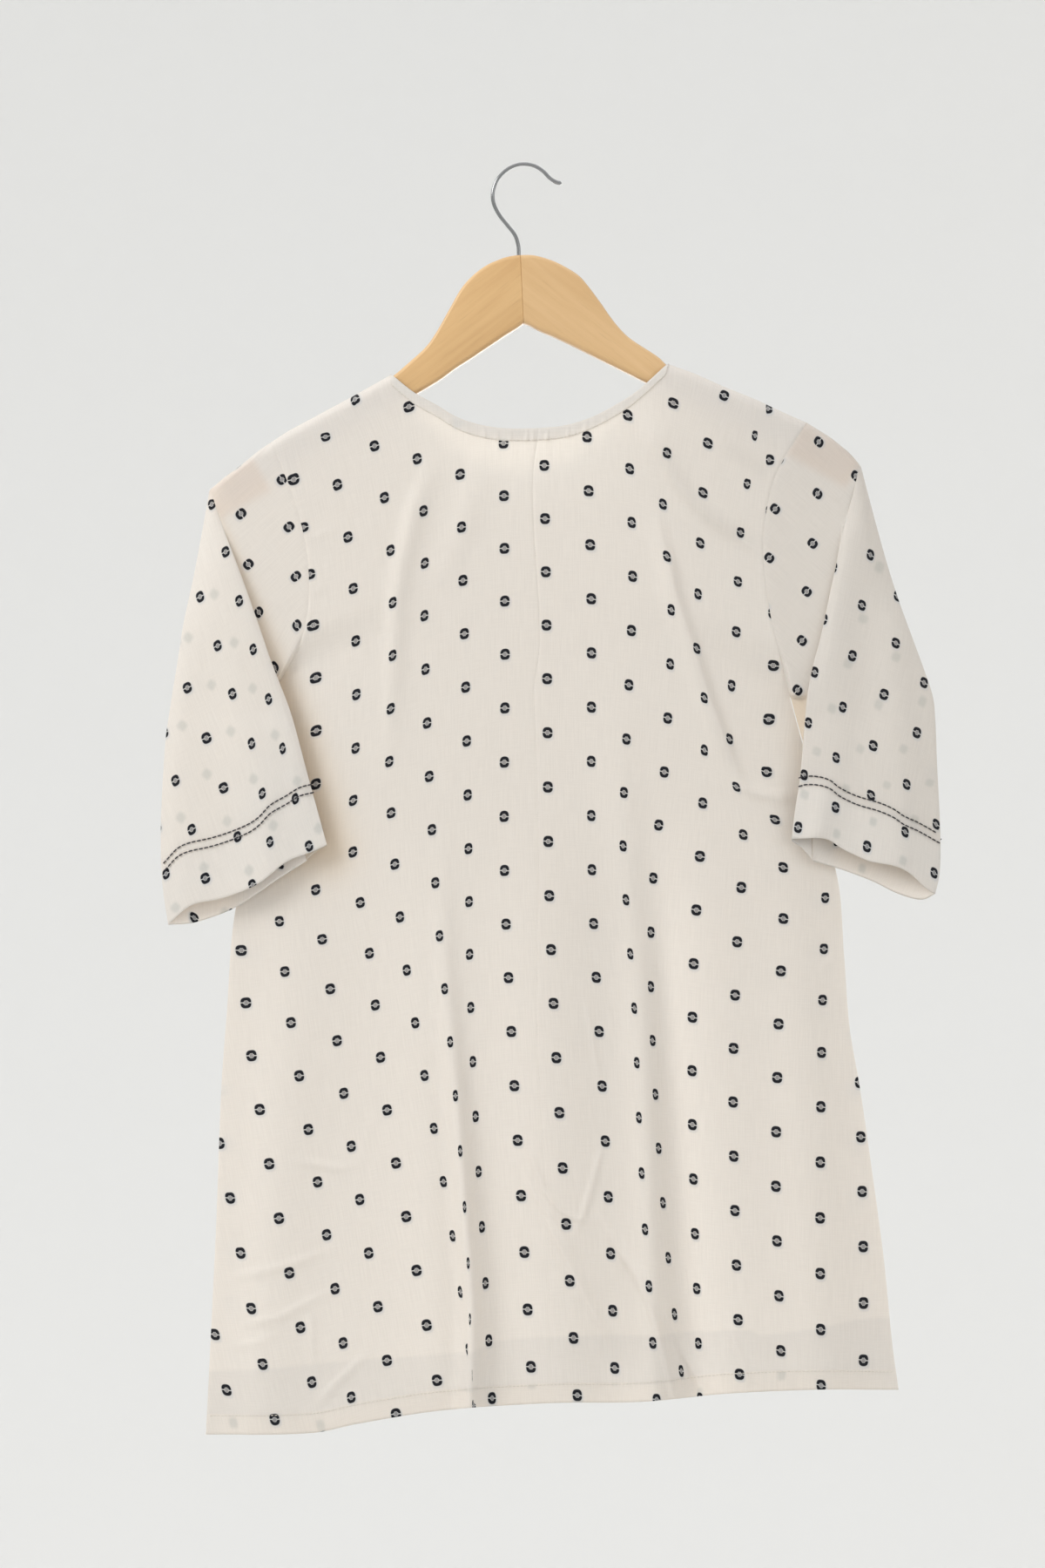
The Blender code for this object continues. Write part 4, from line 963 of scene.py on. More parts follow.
def neck_binding(face, gathers, material):
    """A narrow band folded over the neck edge, on the panel's own surface moved out. Returns
    the row of points that its stitches run along, with their outward directions."""
    left, right = ARMHOLE["left"][0][1], ARMHOLE["right"][0][1]
    places = (np.linspace(*NECK_BACK_WIDTH, 260) - left) / (right - left)
    length = curve(HEM, 0) - NECK_LEVEL
    downs = np.linspace(0.02, BINDING_DEPTH, 12)
    base = panel_surface(face, places[None, :], downs[:, None] / length)
    outward = surface_normals(base)
    sign = -1 if face == "back" else 1
    outward *= np.sign(outward[..., 1:2]) * sign
    x = base[..., 0]
    puckers = sum(pucker(x - place, h, w) for place, h, w in gathers)
    share = downs[:, None] / BINDING_DEPTH
    lift = BINDING_LIFT * np.sqrt(1 - (2 * share - 1) ** 6 * 0.85)
    lift = lift + PUCKER_HEIGHT_SHARE * puckers * (0.25 + 0.75 * share)
    band = base + outward * lift[..., None]
    lip = base[0] + np.array([0, 0, -0.55]) + outward[0] * BINDING_LIFT * 0.3
    inside = base[:7:3] - outward[:7:3] * BINDING_LIFT
    points = np.concatenate([inside[::-1], lip[None], band])
    node = f"neck_binding_{face}"
    faces = grid_faces(*points.shape[:2])
    obj = new_mesh(f"{node}_cloth", points, faces, material, flip=face == "front")
    wear(obj, node)
    return band[-2] + outward[-2] * 0.05, outward[-2]


def loft_stitch(centre, along, outward, size):
    """Points of one stitch: a short thread that dips into the cloth at both ends."""
    across = np.cross(along, outward)
    points = []
    for place, swell, rise in STITCH_STATIONS:
        middle = centre + along * place * size["length"] + outward * rise * size["radius"]
        for i in range(6):
            angle = math.pi / 3 * i
            ring = across * math.cos(angle) + outward * math.sin(angle)
            points.append(middle + ring * size["radius"] * swell)
    return points


def stitch_mesh(name, rows, size, material):
    """One mesh of stitches along rows, each its points and the outward directions there."""
    points, faces = [], []
    shape = grid_faces(5, 6, wrap=True)
    for path, outward in rows:
        steps = np.linalg.norm(np.diff(path, axis=0), axis=1)
        along = np.concatenate([[0], np.cumsum(steps)])
        for place in np.arange(size["pitch"] / 2, along[-1], size["pitch"]):
            ends = []
            half = size["length"] / 2
            for at in (place - half, place, place + half):
                ends.append(np.array([np.interp(at, along, path[:, i]) for i in range(3)]))
            out = np.array([np.interp(place, along, outward[:, i]) for i in range(3)])
            run = (ends[2] - ends[0]) / (np.linalg.norm(ends[2] - ends[0]) + 1e-9)
            out = out / (np.linalg.norm(out) + 1e-9)
            first = len(points)
            points += loft_stitch(ends[1], run, out, size)
            faces += (shape + first).tolist()
            faces.append([first + i for i in range(4)])
            faces.append([first, first + 3, first + 4, first + 5])
            faces.append([first + 24 + i for i in (3, 2, 1, 0)])
            faces.append([first + 24 + i for i in (5, 4, 3, 0)])
    obj = new_mesh(name, points, faces, material)
    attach(obj, BODY)


def hem_stitches(thread):
    """The cream stitch line that holds the turned hem."""
    rows = []
    columns = np.linspace(0.004, 0.996, 400)
    beside = np.array([[-0.002], [0.0], [0.002]])
    for face, sign in (("back", -1), ("front", 1)):
        row = 1 - (HEM_DEPTH - 1.0) / (hem_point(columns)[1] - NECK_LEVEL)
        grid = panel_surface(face, columns[None, :], row[None, :] + beside)
        outward = surface_normals(grid)
        outward *= np.sign(outward[..., 1:2]) * sign
        rows.append((grid[1] + outward[1] * 0.1, outward[1]))
    stitch_mesh("hem_stitches", rows, CREAM_STITCH, thread)


def tip_level(side):
    return SLEEVES[side][0][0]


def outer_x(side, drop):
    """The outer edge of a sleeve: the line over the hanger, then the hanging edge."""
    if drop >= tip_level(side):
        return float(curve([row[2:4] for row in SLEEVES[side]], drop))
    on_side = [row for row in RIDGE if (row[0] < -100 if side == "left" else row[0] > 104)]
    on_side.sort(key=lambda row: row[1])
    return float(np.interp(drop, [row[1] for row in on_side], [row[0] for row in on_side]))


def cap_depth(x, drop, outer):
    """Depth of the cloth lying over the hanger's arm, closing in at the outer edge."""
    in_from_edge = np.abs(x - outer) * 0.8
    return SHOULDER_HALF_DEPTH * np.minimum(arch(drop - ridge_drop(x)), arch(in_from_edge))


def sleeve_level(side, drop):
    """The sleeve's measures where its inner fold is at this drop."""
    rows = SLEEVES[side]
    names = ("fold_x", "outer_drop", "outer_x", "lap", "fold_y", "outer_y")
    level = {name: float(curve(rows, drop, i + 1)) for i, name in enumerate(names)}
    level["far_drop"] = float(curve(rows, drop, 9))
    seam = [row for row in rows if row[7] is not None]
    level["seam_x"] = float(curve(seam, drop, 7))
    level["seam_y"] = float(curve(seam, drop, 8))
    return level


def sleeve_ring(side, drop, start, end, steps):
    """One turn of a sleeve: from its back seam point, under the lap, along the near layer to
    the outer edge and along the far layer to its front seam point."""
    toward_body = 1 if side == "left" else -1
    tip = tip_level(side)
    level = sleeve_level(side, drop)
    hang = float(smoothstep(tip + 4, tip + 55, drop))
    outer = np.array([level["outer_x"], level["outer_y"], level["outer_drop"]])
    fold = np.array([level["fold_x"], level["fold_y"], drop])
    if drop < tip:
        outer = np.array([outer_x(side, drop), 0.0, drop])
        reach = CAP_FOLD_SHARE + (1 - CAP_FOLD_SHARE) * float(smoothstep(tip - 40, tip, drop))
        fold[0] = start[0] + reach * (outer[0] - start[0])
    at_tip = 1 - float(smoothstep(3, 22, abs(drop - tip)))
    fold[0] += toward_body * at_tip
    fold[1] = hang * fold[1] - (1 - hang) * cap_depth(fold[0], drop, outer[0])
    tuck = tuck_point(side, drop, level, hang, start, fold, outer)
    closed = drop >= ARMHOLE[side][-1][0]
    return np.concatenate(
        [
            cap_points(start, tuck, outer, closed, steps[0]),
            lap_points(tuck, fold, steps[1]),
            near_points(side, fold, outer, hang, steps[2]),
            far_points(outer, end, hang, closed, level["far_drop"], steps[3]),
        ]
    )


def tuck_point(side, drop, level, hang, start, fold, outer):
    """Where the cloth turns back under the fold."""
    lap = level["lap"] if side == "left" else -level["lap"]
    x = fold[0] + (1 - hang) * CAP_LAP_SHARE * (start[0] - outer[0]) - hang * lap
    flat = -cap_depth(x, drop, outer[0])
    under = hang * (fold[1] + (flat - fold[1]) * UNDER_FOLD_REACH) + (1 - hang) * flat
    underarm = ARMHOLE[side][-1][0]
    below = float(smoothstep(underarm, underarm + 30, drop))
    open_x = fold[0] + SEAM_SHARE_ACROSS * (start[0] - fold[0])
    open_depth = fold[1] + UNDER_FOLD_GAP
    open_depth += SEAM_SHARE_DEEP * (start[1] - open_depth)
    x += below * (open_x - x)
    under += below * (open_depth - under)
    return np.array([x, under, drop])


def cap_points(start, tuck, outer, closed, count):
    """From the armhole, or the underarm seam, to where the cloth turns back under the fold."""
    share = np.concatenate([[0, 0.012, 0.03], np.linspace(0.06, 1, count - 3, endpoint=False)])
    points = start + (tuck - start) * share[:, None]
    if not closed:
        flat = -cap_depth(points[:, 0], start[2], outer[0])
        off = np.abs(points[:, 0] - start[0])
        settled = 1 - np.exp(-((off / 1.2) ** 2))
        points[:, 1] += (flat - points[:, 1]) * (1 - share**2) * settled
    return points


def lap_points(tuck, fold, count):
    """Round the fold, in a quarter turn."""
    turn = math.pi / 2 * np.linspace(0, 1, count, endpoint=False)
    points = np.tile(fold, (count, 1))
    points[:, 0] = tuck[0] + (fold[0] - tuck[0]) * np.sin(turn)
    points[:, 1] = tuck[1] + (fold[1] - tuck[1]) * (1 - np.cos(turn))
    return points


def near_points(side, fold, outer, hang, count):
    """The near layer, from the fold to the outer edge."""
    share = (1 - np.cos(math.pi * np.linspace(0, 1, count, endpoint=False))) / 2
    points = fold + (outer - fold) * share[:, None]
    flat = cap_depth(points[:, 0], fold[2], outer[0])
    bulge = SLEEVE_LAYER_BULGE * np.sin(math.pi * share) ** BULGE_ROUNDNESS
    hung = points[:, 1] - NEAR_BULGE_SHARE * bulge
    x, drop = points[:, 0], points[:, 2]
    hung -= sum(crease_height(crease, x, drop) for crease in CREASES_SLEEVES[side])
    points[:, 1] = hang * hung - (1 - hang) * flat
    return points


def far_points(outer, end, hang, closed, far_drop, count):
    """The far layer, from the outer edge back to the armhole or the underarm seam."""
    share = (1 - np.cos(math.pi * np.linspace(0, 1, count + 1))) / 2
    points = outer + (end - outer) * share[:, None]
    hung = points[:, 1] + SLEEVE_LAYER_BULGE * np.sin(math.pi * share) ** BULGE_ROUNDNESS
    if not closed:
        hung = hang * hung + (1 - hang) * cap_depth(points[:, 0], outer[2], outer[0])
        hung += (end[1] - hung) * share**6
    points[:, 1] = hung
    points[:, 2] += far_drop * np.sin(math.pi * share)
    return points


def hang_cuff(side, rings, steps):
    """Lets the foot of each layer follow the cuff's own wavy edge."""
    fold, outer = steps[0] + steps[1], steps[0] + steps[1] + steps[2]
    foot = rings[-1]
    shift = np.zeros(len(foot))
    for first, last, edge in zip((fold, outer), (outer, len(foot)), CUFFS[side]):
        wanted = curve(edge, foot[first:last, 0])
        shift[first:last] = wanted - foot[first:last, 2]
    shift[:fold] = np.linspace(shift[-1], shift[fold], fold, endpoint=False)
    for _ in range(6):
        shift[1:-1] += 0.25 * (shift[:-2] + shift[2:] - 2 * shift[1:-1])
    cuff = SLEEVES[side][-1][0]
    share = smoothstep(cuff - 60, cuff, rings[:, fold, 2])
    rings[..., 2] += share[:, None] * shift


def sleeve_rings(side):
    """The rings of a sleeve from its crown to its cuff."""
    outward = -1 if side == "left" else 1
    scale = 1.0
    steps = [round(count * scale) for count in SLEEVE_COLUMNS]
    edge_column = 0.0 if side == "left" else 1.0
    underarm = ARMHOLE[side][-1][0]
    cuff = SLEEVES[side][-1][0]
    crown = np.linspace(0.0005, CROWN_SHARE, CROWN_ROWS)
    armhole = np.linspace(CROWN_SHARE, UNDERARM_ROW, round(ARMHOLE_LENGTH / SLEEVE_STEP))[1:-1]
    rings = []
    for row in np.concatenate([crown, armhole]):
        x, drop = (float(value) for value in edge_point(side, row))
        depth = abs(float(panel_surface("back", edge_column, row)[1]))
        start = np.array([x + outward * 0.02, -depth, drop])
        end = np.array([x + outward * 0.02, depth, drop])
        rings.append(sleeve_ring(side, drop, start, end, steps))
    for drop in np.linspace(underarm, cuff, round((cuff - underarm) * 1.15 / SLEEVE_STEP)):
        level = sleeve_level(side, drop)
        seam = np.array([level["seam_x"], level["seam_y"], drop])
        rings.append(sleeve_ring(side, drop, seam, seam, steps))
    rings = np.array(rings)
    hang_cuff(side, rings, steps)
    return rings, steps


def sleeve_places(side, points, steps):
    """Cloth places on a sleeve: its cap, its near layer and, beyond the outer edge, its far one."""
    charts = CHART_SLEEVES[side]
    x, drop = points[..., 0], points[..., 2]
    cap_count = steps[0] + steps[1]
    near_end = cap_count + steps[2]
    cap = spread_places(charts["cap"], x, drop)
    mirrored = 2 * x[:, near_end : near_end + 1] - x
    places = spread_places(charts["flap"], x, drop)
    places[:, near_end:] = spread_places(charts["flap"], mirrored, drop)[:, near_end:]
    above_tip = drop[:, cap_count : cap_count + 1] < tip_level(side) + 6
    on_cap = np.zeros(x.shape, bool)
    on_cap[:, :cap_count] = True
    on_cap[:, :near_end] |= above_tip
    return np.where(on_cap[..., None], cap, places)


def sleeve_tint_and_shade(side, points, steps):
    """Painted light and shade on a sleeve: paler where the cuff is turned up and inside the far cuff,
    warm shade beside the left fold and in the right underarm gap, the right sleeve darker; also warm
    where the hanger's tip lies under the cloth.
    """
    x, drop = points[..., 0], points[..., 2]
    tip_x, tip_drop, half_long, half_wide, slope = HANGER_TIPS[side]
    along = (x - tip_x) * math.cos(slope) + (drop - tip_drop) * math.sin(slope)
    across = -(x - tip_x) * math.sin(slope) + (drop - tip_drop) * math.cos(slope)
    over_tip = 1 - smoothstep(half_long - 3, half_long + 4, np.abs(along))
    over_tip *= 1 - smoothstep(half_wide - 4, half_wide + 5, np.abs(across))
    tone_and_shade = np.ones(x.shape + (4,))
    tone_and_shade[..., :3] -= over_tip[..., None] * TIP_LOSS
    cap_end = steps[0] + steps[1]
    near_end = cap_end + steps[2]
    # Painted light on the turned-up cuffs and inside the far layer's cuff.
    below_stitches = drop - curve(STITCH_ROWS[side], x)
    cuff_light_gain = 1 + CUFF_LIGHT_GAIN[side] * smoothstep(4, 9, below_stitches)
    cuff_light_gain[:, near_end:] = 1 + FAR_CUFF_LIGHT_GAIN * smoothstep(2, 16, below_stitches[:, near_end:])
    cuff_light_gain[:, :cap_end] = 1.0
    tone_and_shade[..., :3] *= cuff_light_gain[..., None]
    if side == "left":
        shade = fold_shade(x[:, :cap_end], drop[:, :cap_end])
        tone_and_shade[:, :cap_end, :3] *= 1 - shade[..., None] * SHADE_LOSS
    else:
        # Painted warm shade in the gap between the right sleeve and the body.
        gap_shade = smoothstep(372, 385, drop) * (1 - smoothstep(418, 440, drop))
        gap_shade *= 1 - smoothstep(200, 214, x)
        gap_shade[:, cap_end:near_end] = 0.0
        tone_and_shade[..., :3] *= 1 - gap_shade[..., None] * GAP_SHADE_LOSS
    # Painted shade: the right sleeve is a little darker, as the light falls from the left.
    tone_and_shade[..., :3] *= SLEEVE_SHADE[side]
    below_tip = smoothstep(tip_level(side) + 40, tip_level(side) + 70, drop)
    tone_and_shade[:, cap_end:, 3] = FAR_SPOTS_SHARE * below_tip[:, cap_end:]
    tone_and_shade[:, :cap_end, 3] = 0.0
    return tone_and_shade


def sleeve_piece(side, material):
    points, steps = sleeve_rings(side)
    turned = turned_cuff(points)
    faces = grid_faces(*turned.shape[:2])
    obj = new_mesh(f"sleeve_{side}_cloth", turned, faces, material, flip=side == "left")
    paint_places(obj, "cloth", sleeve_places(side, turned, steps))
    behind = spread_places(CHART_SLEEVES[side]["behind"], turned[..., 0], turned[..., 2])
    paint_places(obj, "behind", behind)
    paint_tint_and_shade(obj, sleeve_tint_and_shade(side, turned, steps))
    wear(obj, f"sleeve_{side}")
    return points, steps


def turned_cuff(points):
    """Rows that go on round the edge of the cuff and back up inside the sleeve."""
    low = points[-CUFF_ROWS:][::-1]
    normals = surface_normals(low)
    centre = low[0].mean(axis=0)
    facing = np.einsum("ij,ij->i", normals[0], centre - low[0]).mean()
    normals *= math.copysign(1, facing)
    lengths = run_lengths(low, 0)
    up = low[0] - low[3]
    up = up / (np.linalg.norm(up, axis=-1, keepdims=True) + 1e-9)
    rows = [low[0] + up * 0.3 + normals[0] * 0.3]
    for back in CUFF_DEPTHS:
        row = np.empty_like(low[0])
        for j in range(row.shape[0]):
            for k in range(3):
                inner = low[:, j, k] + normals[:, j, k] * 0.6
                row[j, k] = np.interp(back, lengths[:, j], inner)
        rows.append(row)
    return np.concatenate([points, np.array(rows)])


def on_surface(points, x, drop):
    """The points of a grid nearest to these seen places, moved onto them, with their normals."""
    normals = surface_normals(points)
    flat = points.reshape(-1, 3)
    found, outward = [], []
    for px, pd in zip(x, drop):
        away = np.hypot(flat[:, 0] - px, flat[:, 2] - pd)
        order = np.argsort(away)[:4]
        weight = 1 / (away[order] + 0.05)
        weight /= weight.sum()
        depths = flat[order, 1]
        furthest = depths[np.argmax(np.abs(depths))]
        found.append([px, float((depths * weight).sum() + furthest) / 2, pd])
        out = (normals.reshape(-1, 3)[order] * weight[:, None]).sum(axis=0)
        outward.append(out * (-1 if out[1] > 0 else 1))
    return np.array(found), np.array(outward)


def sleeve_stitches(side, points, steps, thread):
    """Two rows of running stitches near the cuff, on the near layer and on the far one."""
    first = steps[0] + steps[1]
    near = points[:, first : first + steps[2] + 1]
    far = points[:, first + steps[2] :]
    rows = []
    for shift in (0.0, STITCH_ROW_GAP):
        route = smooth_path(STITCH_ROWS[side], 1.5)
        edge = curve([row[2:4] for row in SLEEVES[side]], route[:, 1] + shift)
        route = route[np.abs(route[:, 0]) < np.abs(edge) - 1.4]
        path, outward = on_surface(near, route[:, 0], route[:, 1] + shift)
        rows.append((path + outward * 0.4, outward))
        down = far[-1] - far[-14]
        down /= np.linalg.norm(down, axis=-1, keepdims=True)
        seen = far[-1] - down * (FAR_STITCH_RISE - shift)
        path, outward = on_surface(far, seen[6:-5:2, 0], seen[6:-5:2, 2])
        rows.append((path - outward * 0.4, -outward))
    stitch_mesh(f"sleeve_{side}_stitches", rows, BLACK_STITCH, thread)


def material_named(name):
    material = bpy.data.materials.new(name)
    material.use_nodes = True
    return material, material.node_tree, material.node_tree.nodes["Principled BSDF"]


def put(tree, socket, value):
    if isinstance(value, bpy.types.NodeSocket):
        tree.links.new(value, socket)
    else:
        socket.default_value = value


def maths(tree, operation, *values):
    made = tree.nodes.new("ShaderNodeMath")
    made.operation = operation
    for socket, value in zip(made.inputs, values):
        put(tree, socket, value)
    return made.outputs[0]


def times(tree, first, second):
    return maths(tree, "MULTIPLY", first, second)


def plus(tree, first, second):
    return maths(tree, "ADD", first, second)


def ramp(tree, value, low, high):
    """0 below low and 1 above high, or the other way round where high is below low."""
    made = tree.nodes.new("ShaderNodeMapRange")
    made.interpolation_type = "SMOOTHSTEP"
    swapped = high < low
    put(tree, made.inputs["Value"], value)
    made.inputs["From Min"].default_value = min(low, high)
    made.inputs["From Max"].default_value = max(low, high)
    made.inputs["To Min"].default_value = 1.0 if swapped else 0.0
    made.inputs["To Max"].default_value = 0.0 if swapped else 1.0
    return made.outputs["Result"]


def colour_mix(tree, share, first, second, blend="MIX"):
    made = tree.nodes.new("ShaderNodeMix")
    made.data_type = "RGBA"
    made.blend_type = blend
    put(tree, made.inputs["Factor"], share)
    for name, value in (("A", first), ("B", second)):
        socket = next(s for s in made.inputs if s.name == name and s.type == "RGBA")
        put(tree, socket, (*value, 1.0) if isinstance(value, tuple) else value)
    return next(s for s in made.outputs if s.type == "RGBA")


def noise(tree, vector, scale, detail=2.0, stretch=(1.0, 1.0, 1.0)):
    mapping = tree.nodes.new("ShaderNodeMapping")
    mapping.inputs["Scale"].default_value = stretch
    put(tree, mapping.inputs["Vector"], vector)
    made = tree.nodes.new("ShaderNodeTexNoise")
    made.inputs["Scale"].default_value = scale
    made.inputs["Detail"].default_value = detail
    put(tree, made.inputs["Vector"], mapping.outputs["Vector"])
    return made.outputs["Fac"]


def relief(tree, shader, height, distance, strength):
    """Makes the surface look raised by a height of so many millimetres."""
    bump = tree.nodes.new("ShaderNodeBump")
    bump.inputs["Distance"].default_value = distance * MM
    bump.inputs["Strength"].default_value = strength
    put(tree, bump.inputs["Height"], height)
    put(tree, shader.inputs["Normal"], bump.outputs["Normal"])


def spot_place(tree, uv_name):
    """How far a point lies from the nearest spot's centre, in millimetres."""
    uv = tree.nodes.new("ShaderNodeUVMap")
    uv.uv_map = uv_name
    parts = tree.nodes.new("ShaderNodeSeparateXYZ")
    put(tree, parts.inputs[0], uv.outputs["UV"])
    column = maths(tree, "DIVIDE", parts.outputs["X"], WEFT_PITCH * MM)
    down = maths(tree, "DIVIDE", parts.outputs["Y"], WARP_PITCH * MM)
    near_column = maths(tree, "WRAP", column, 1.0, -1.0)
    near_down = maths(tree, "WRAP", down, 0.5, -0.5)
    next_column = maths(tree, "WRAP", maths(tree, "SUBTRACT", column, 1.0), 1.0, -1.0)
    next_down = maths(tree, "WRAP", maths(tree, "SUBTRACT", down, 0.5), 0.5, -0.5)
    use_next = maths(tree, "GREATER_THAN", maths(tree, "ABSOLUTE", near_column), 0.5)
    use_near = maths(tree, "SUBTRACT", 1.0, use_next)
    columns_off = times(tree, near_column, use_near), times(tree, next_column, use_next)
    across = times(tree, plus(tree, *columns_off), WEFT_PITCH)
    spots_off = times(tree, near_down, use_near), times(tree, next_down, use_next)
    along = times(tree, plus(tree, *spots_off), WARP_PITCH)
    return across, along, uv.outputs["UV"]


def radius_of(tree, across, along, half_width, half_height):
    x = maths(tree, "DIVIDE", across, half_width)
    y = maths(tree, "DIVIDE", along, half_height)
    squares = plus(tree, times(tree, x, x), times(tree, y, y))
    return maths(tree, "SQRT", squares)


def rounded_radius(tree, across, along, half_width, half_height, roundness=2.7):
    """1 on the outline of a rounded box about the spot's centre."""
    shares = []
    for value, half in ((across, half_width), (along, half_height)):
        share = maths(tree, "ABSOLUTE", maths(tree, "DIVIDE", value, half))
        shares.append(maths(tree, "POWER", share, roundness))
    return maths(tree, "POWER", plus(tree, *shares), 1 / roundness)


def spot_masks(tree, across, along):
    """The parts of a woven spot: two dark arcs, a hatched heart in a pale ring, and a shadow."""
    outline = rounded_radius(tree, across, along, SPOT_HALF_WIDTH, SPOT_HALF_HEIGHT)
    angle = maths(tree, "ARCTAN2", along, across)
    wave = maths(tree, "COSINE", times(tree, angle, SCALLOPS))
    hollow = radius_of(tree, across, along, *SPOT_HOLLOW)
    hollow = plus(tree, hollow, times(tree, wave, SCALLOP_HEIGHT))
    slanted = times(tree, across, SIDE_SLANT)
    slant = maths(tree, "ABSOLUTE", maths(tree, "SUBTRACT", along, slanted))
    arcs = times(tree, ramp(tree, outline, 1.07, 0.93), ramp(tree, hollow, 0.9, 1.08))
    arcs = times(tree, arcs, ramp(tree, slant, *SIDE_NOTCH))
    falling = maths(tree, "SINE", times(tree, plus(tree, along, across), HATCH))
    rising = maths(tree, "SINE", times(tree, maths(tree, "SUBTRACT", along, across), HATCH))
    checks = ramp(tree, times(tree, falling, rising), -0.25, 0.25)
    heart = ramp(tree, radius_of(tree, across, along, *SPOT_HEART), 1.1, 0.9)
    heart = times(tree, heart, checks)
    ring = ramp(tree, hollow, 1.05, 0.9)
    beside = maths(tree, "SUBTRACT", across, SPOT_SHADOW_SHIFT[0])
    lower = maths(tree, "SUBTRACT", along, SPOT_SHADOW_SHIFT[1])
    shadow = ramp(tree, rounded_radius(tree, beside, lower, *SPOT_SHADOW_SIZE), 1.25, 0.75)
    return arcs, heart, ring, shadow


def woven_material():
    """Cream cotton with small dark woven spots, a little light passing through it."""
    material, tree, shader = material_named("woven_cotton_spotted")
    across, along, place = spot_place(tree, "cloth")
    arcs, heart, ring, shadow = spot_masks(tree, across, along)
    tint_and_shade = tree.nodes.new("ShaderNodeAttribute")
    tint_and_shade.attribute_name = "tint_and_shade"

    warp = noise(tree, place, 1500.0, 2.0, (1.0, 0.03, 1.0))
    weft = noise(tree, place, 1500.0, 2.0, (0.05, 1.0, 1.0))
    slub = plus(tree, times(tree, warp, 1.25), times(tree, weft, 0.75))
    cloud = noise(tree, place, 9.0, 2.0)
    colour = colour_mix(tree, ramp(tree, slub, 0.75, 1.25), CLOTH_DARK, CLOTH_LIGHT)
    colour = colour_mix(tree, times(tree, cloud, 0.25), colour, CLOTH_WARM)
    # Each point's stored tint, which holds painted light and shade, multiplies the cloth's colour.
    colour = colour_mix(tree, 1.0, colour, tint_and_shade.outputs["Color"], "MULTIPLY")

    far_across, far_along, _ = spot_place(tree, "behind")
    far = rounded_radius(tree, far_across, far_along, SPOT_HALF_WIDTH, SPOT_HALF_HEIGHT, 3.0)
    far = times(tree, ramp(tree, far, 1.35, 0.45), tint_and_shade.outputs["Alpha"])
    colour = colour_mix(tree, times(tree, far, 0.42), colour, FAR_SPOT)

    colour = colour_mix(tree, times(tree, shadow, 0.42), colour, SPOT_SHADOW)
    colour = colour_mix(tree, times(tree, ring, 0.75), colour, RING_PALE)
    colour = colour_mix(tree, times(tree, heart, 0.92), colour, HEART_DARK)
    colour = colour_mix(tree, arcs, colour, SPOT_DARK)
    finish_cloth(tree, shader, colour, slub, arcs)
    return material


def finish_cloth(tree, shader, colour, slub, raised):
    put(tree, shader.inputs["Base Color"], colour)
    shader.inputs["Roughness"].default_value = 0.82
    shader.inputs["Specular IOR Level"].default_value = 0.25
    shader.inputs["Sheen Weight"].default_value = 0.18
    shader.inputs["Sheen Roughness"].default_value = 0.45
    height = slub if raised is None else plus(tree, slub, times(tree, raised, 1.2))
    relief(tree, shader, height, 0.12, 0.35)
    through = tree.nodes.new("ShaderNodeBsdfTranslucent")
    warmed = colour_mix(tree, 1.0, colour, THROUGH_TINT, "MULTIPLY")
    put(tree, through.inputs["Color"], warmed)
    mixed = tree.nodes.new("ShaderNodeMixShader")
    mixed.inputs["Fac"].default_value = THROUGH_SHARE
    put(tree, mixed.inputs[1], shader.outputs[0])
    put(tree, mixed.inputs[2], through.outputs[0])
    put(tree, tree.nodes["Material Output"].inputs["Surface"], mixed.outputs[0])


def plain_cloth_material():
    """The same cloth without spots, for the neck binding."""
    material, tree, shader = material_named("woven_cotton_plain")
    place = tree.nodes.new("ShaderNodeTexCoord").outputs["Object"]
    warp = noise(tree, place, 1500.0, 2.0, (1.0, 0.04, 0.04))
    weft = noise(tree, place, 1500.0, 2.0, (0.04, 0.04, 1.0))
    slub = plus(tree, warp, weft)
    colour = colour_mix(tree, ramp(tree, slub, 0.75, 1.25), CLOTH_DARK, CLOTH_LIGHT)
    finish_cloth(tree, shader, colour, slub, None)
    return material


def thread_material(name, colour):
    material, tree, shader = material_named(name)
    place = tree.nodes.new("ShaderNodeTexCoord").outputs["Object"]
    twist = noise(tree, place, 3000.0, 1.0)
    dark = tuple(value * 0.7 for value in colour)
    put(tree, shader.inputs["Base Color"], colour_mix(tree, twist, dark, colour))
    shader.inputs["Roughness"].default_value = 0.6
    shader.inputs["Sheen Weight"].default_value = 0.1
    relief(tree, shader, twist, 0.1, 1.0)
    return material


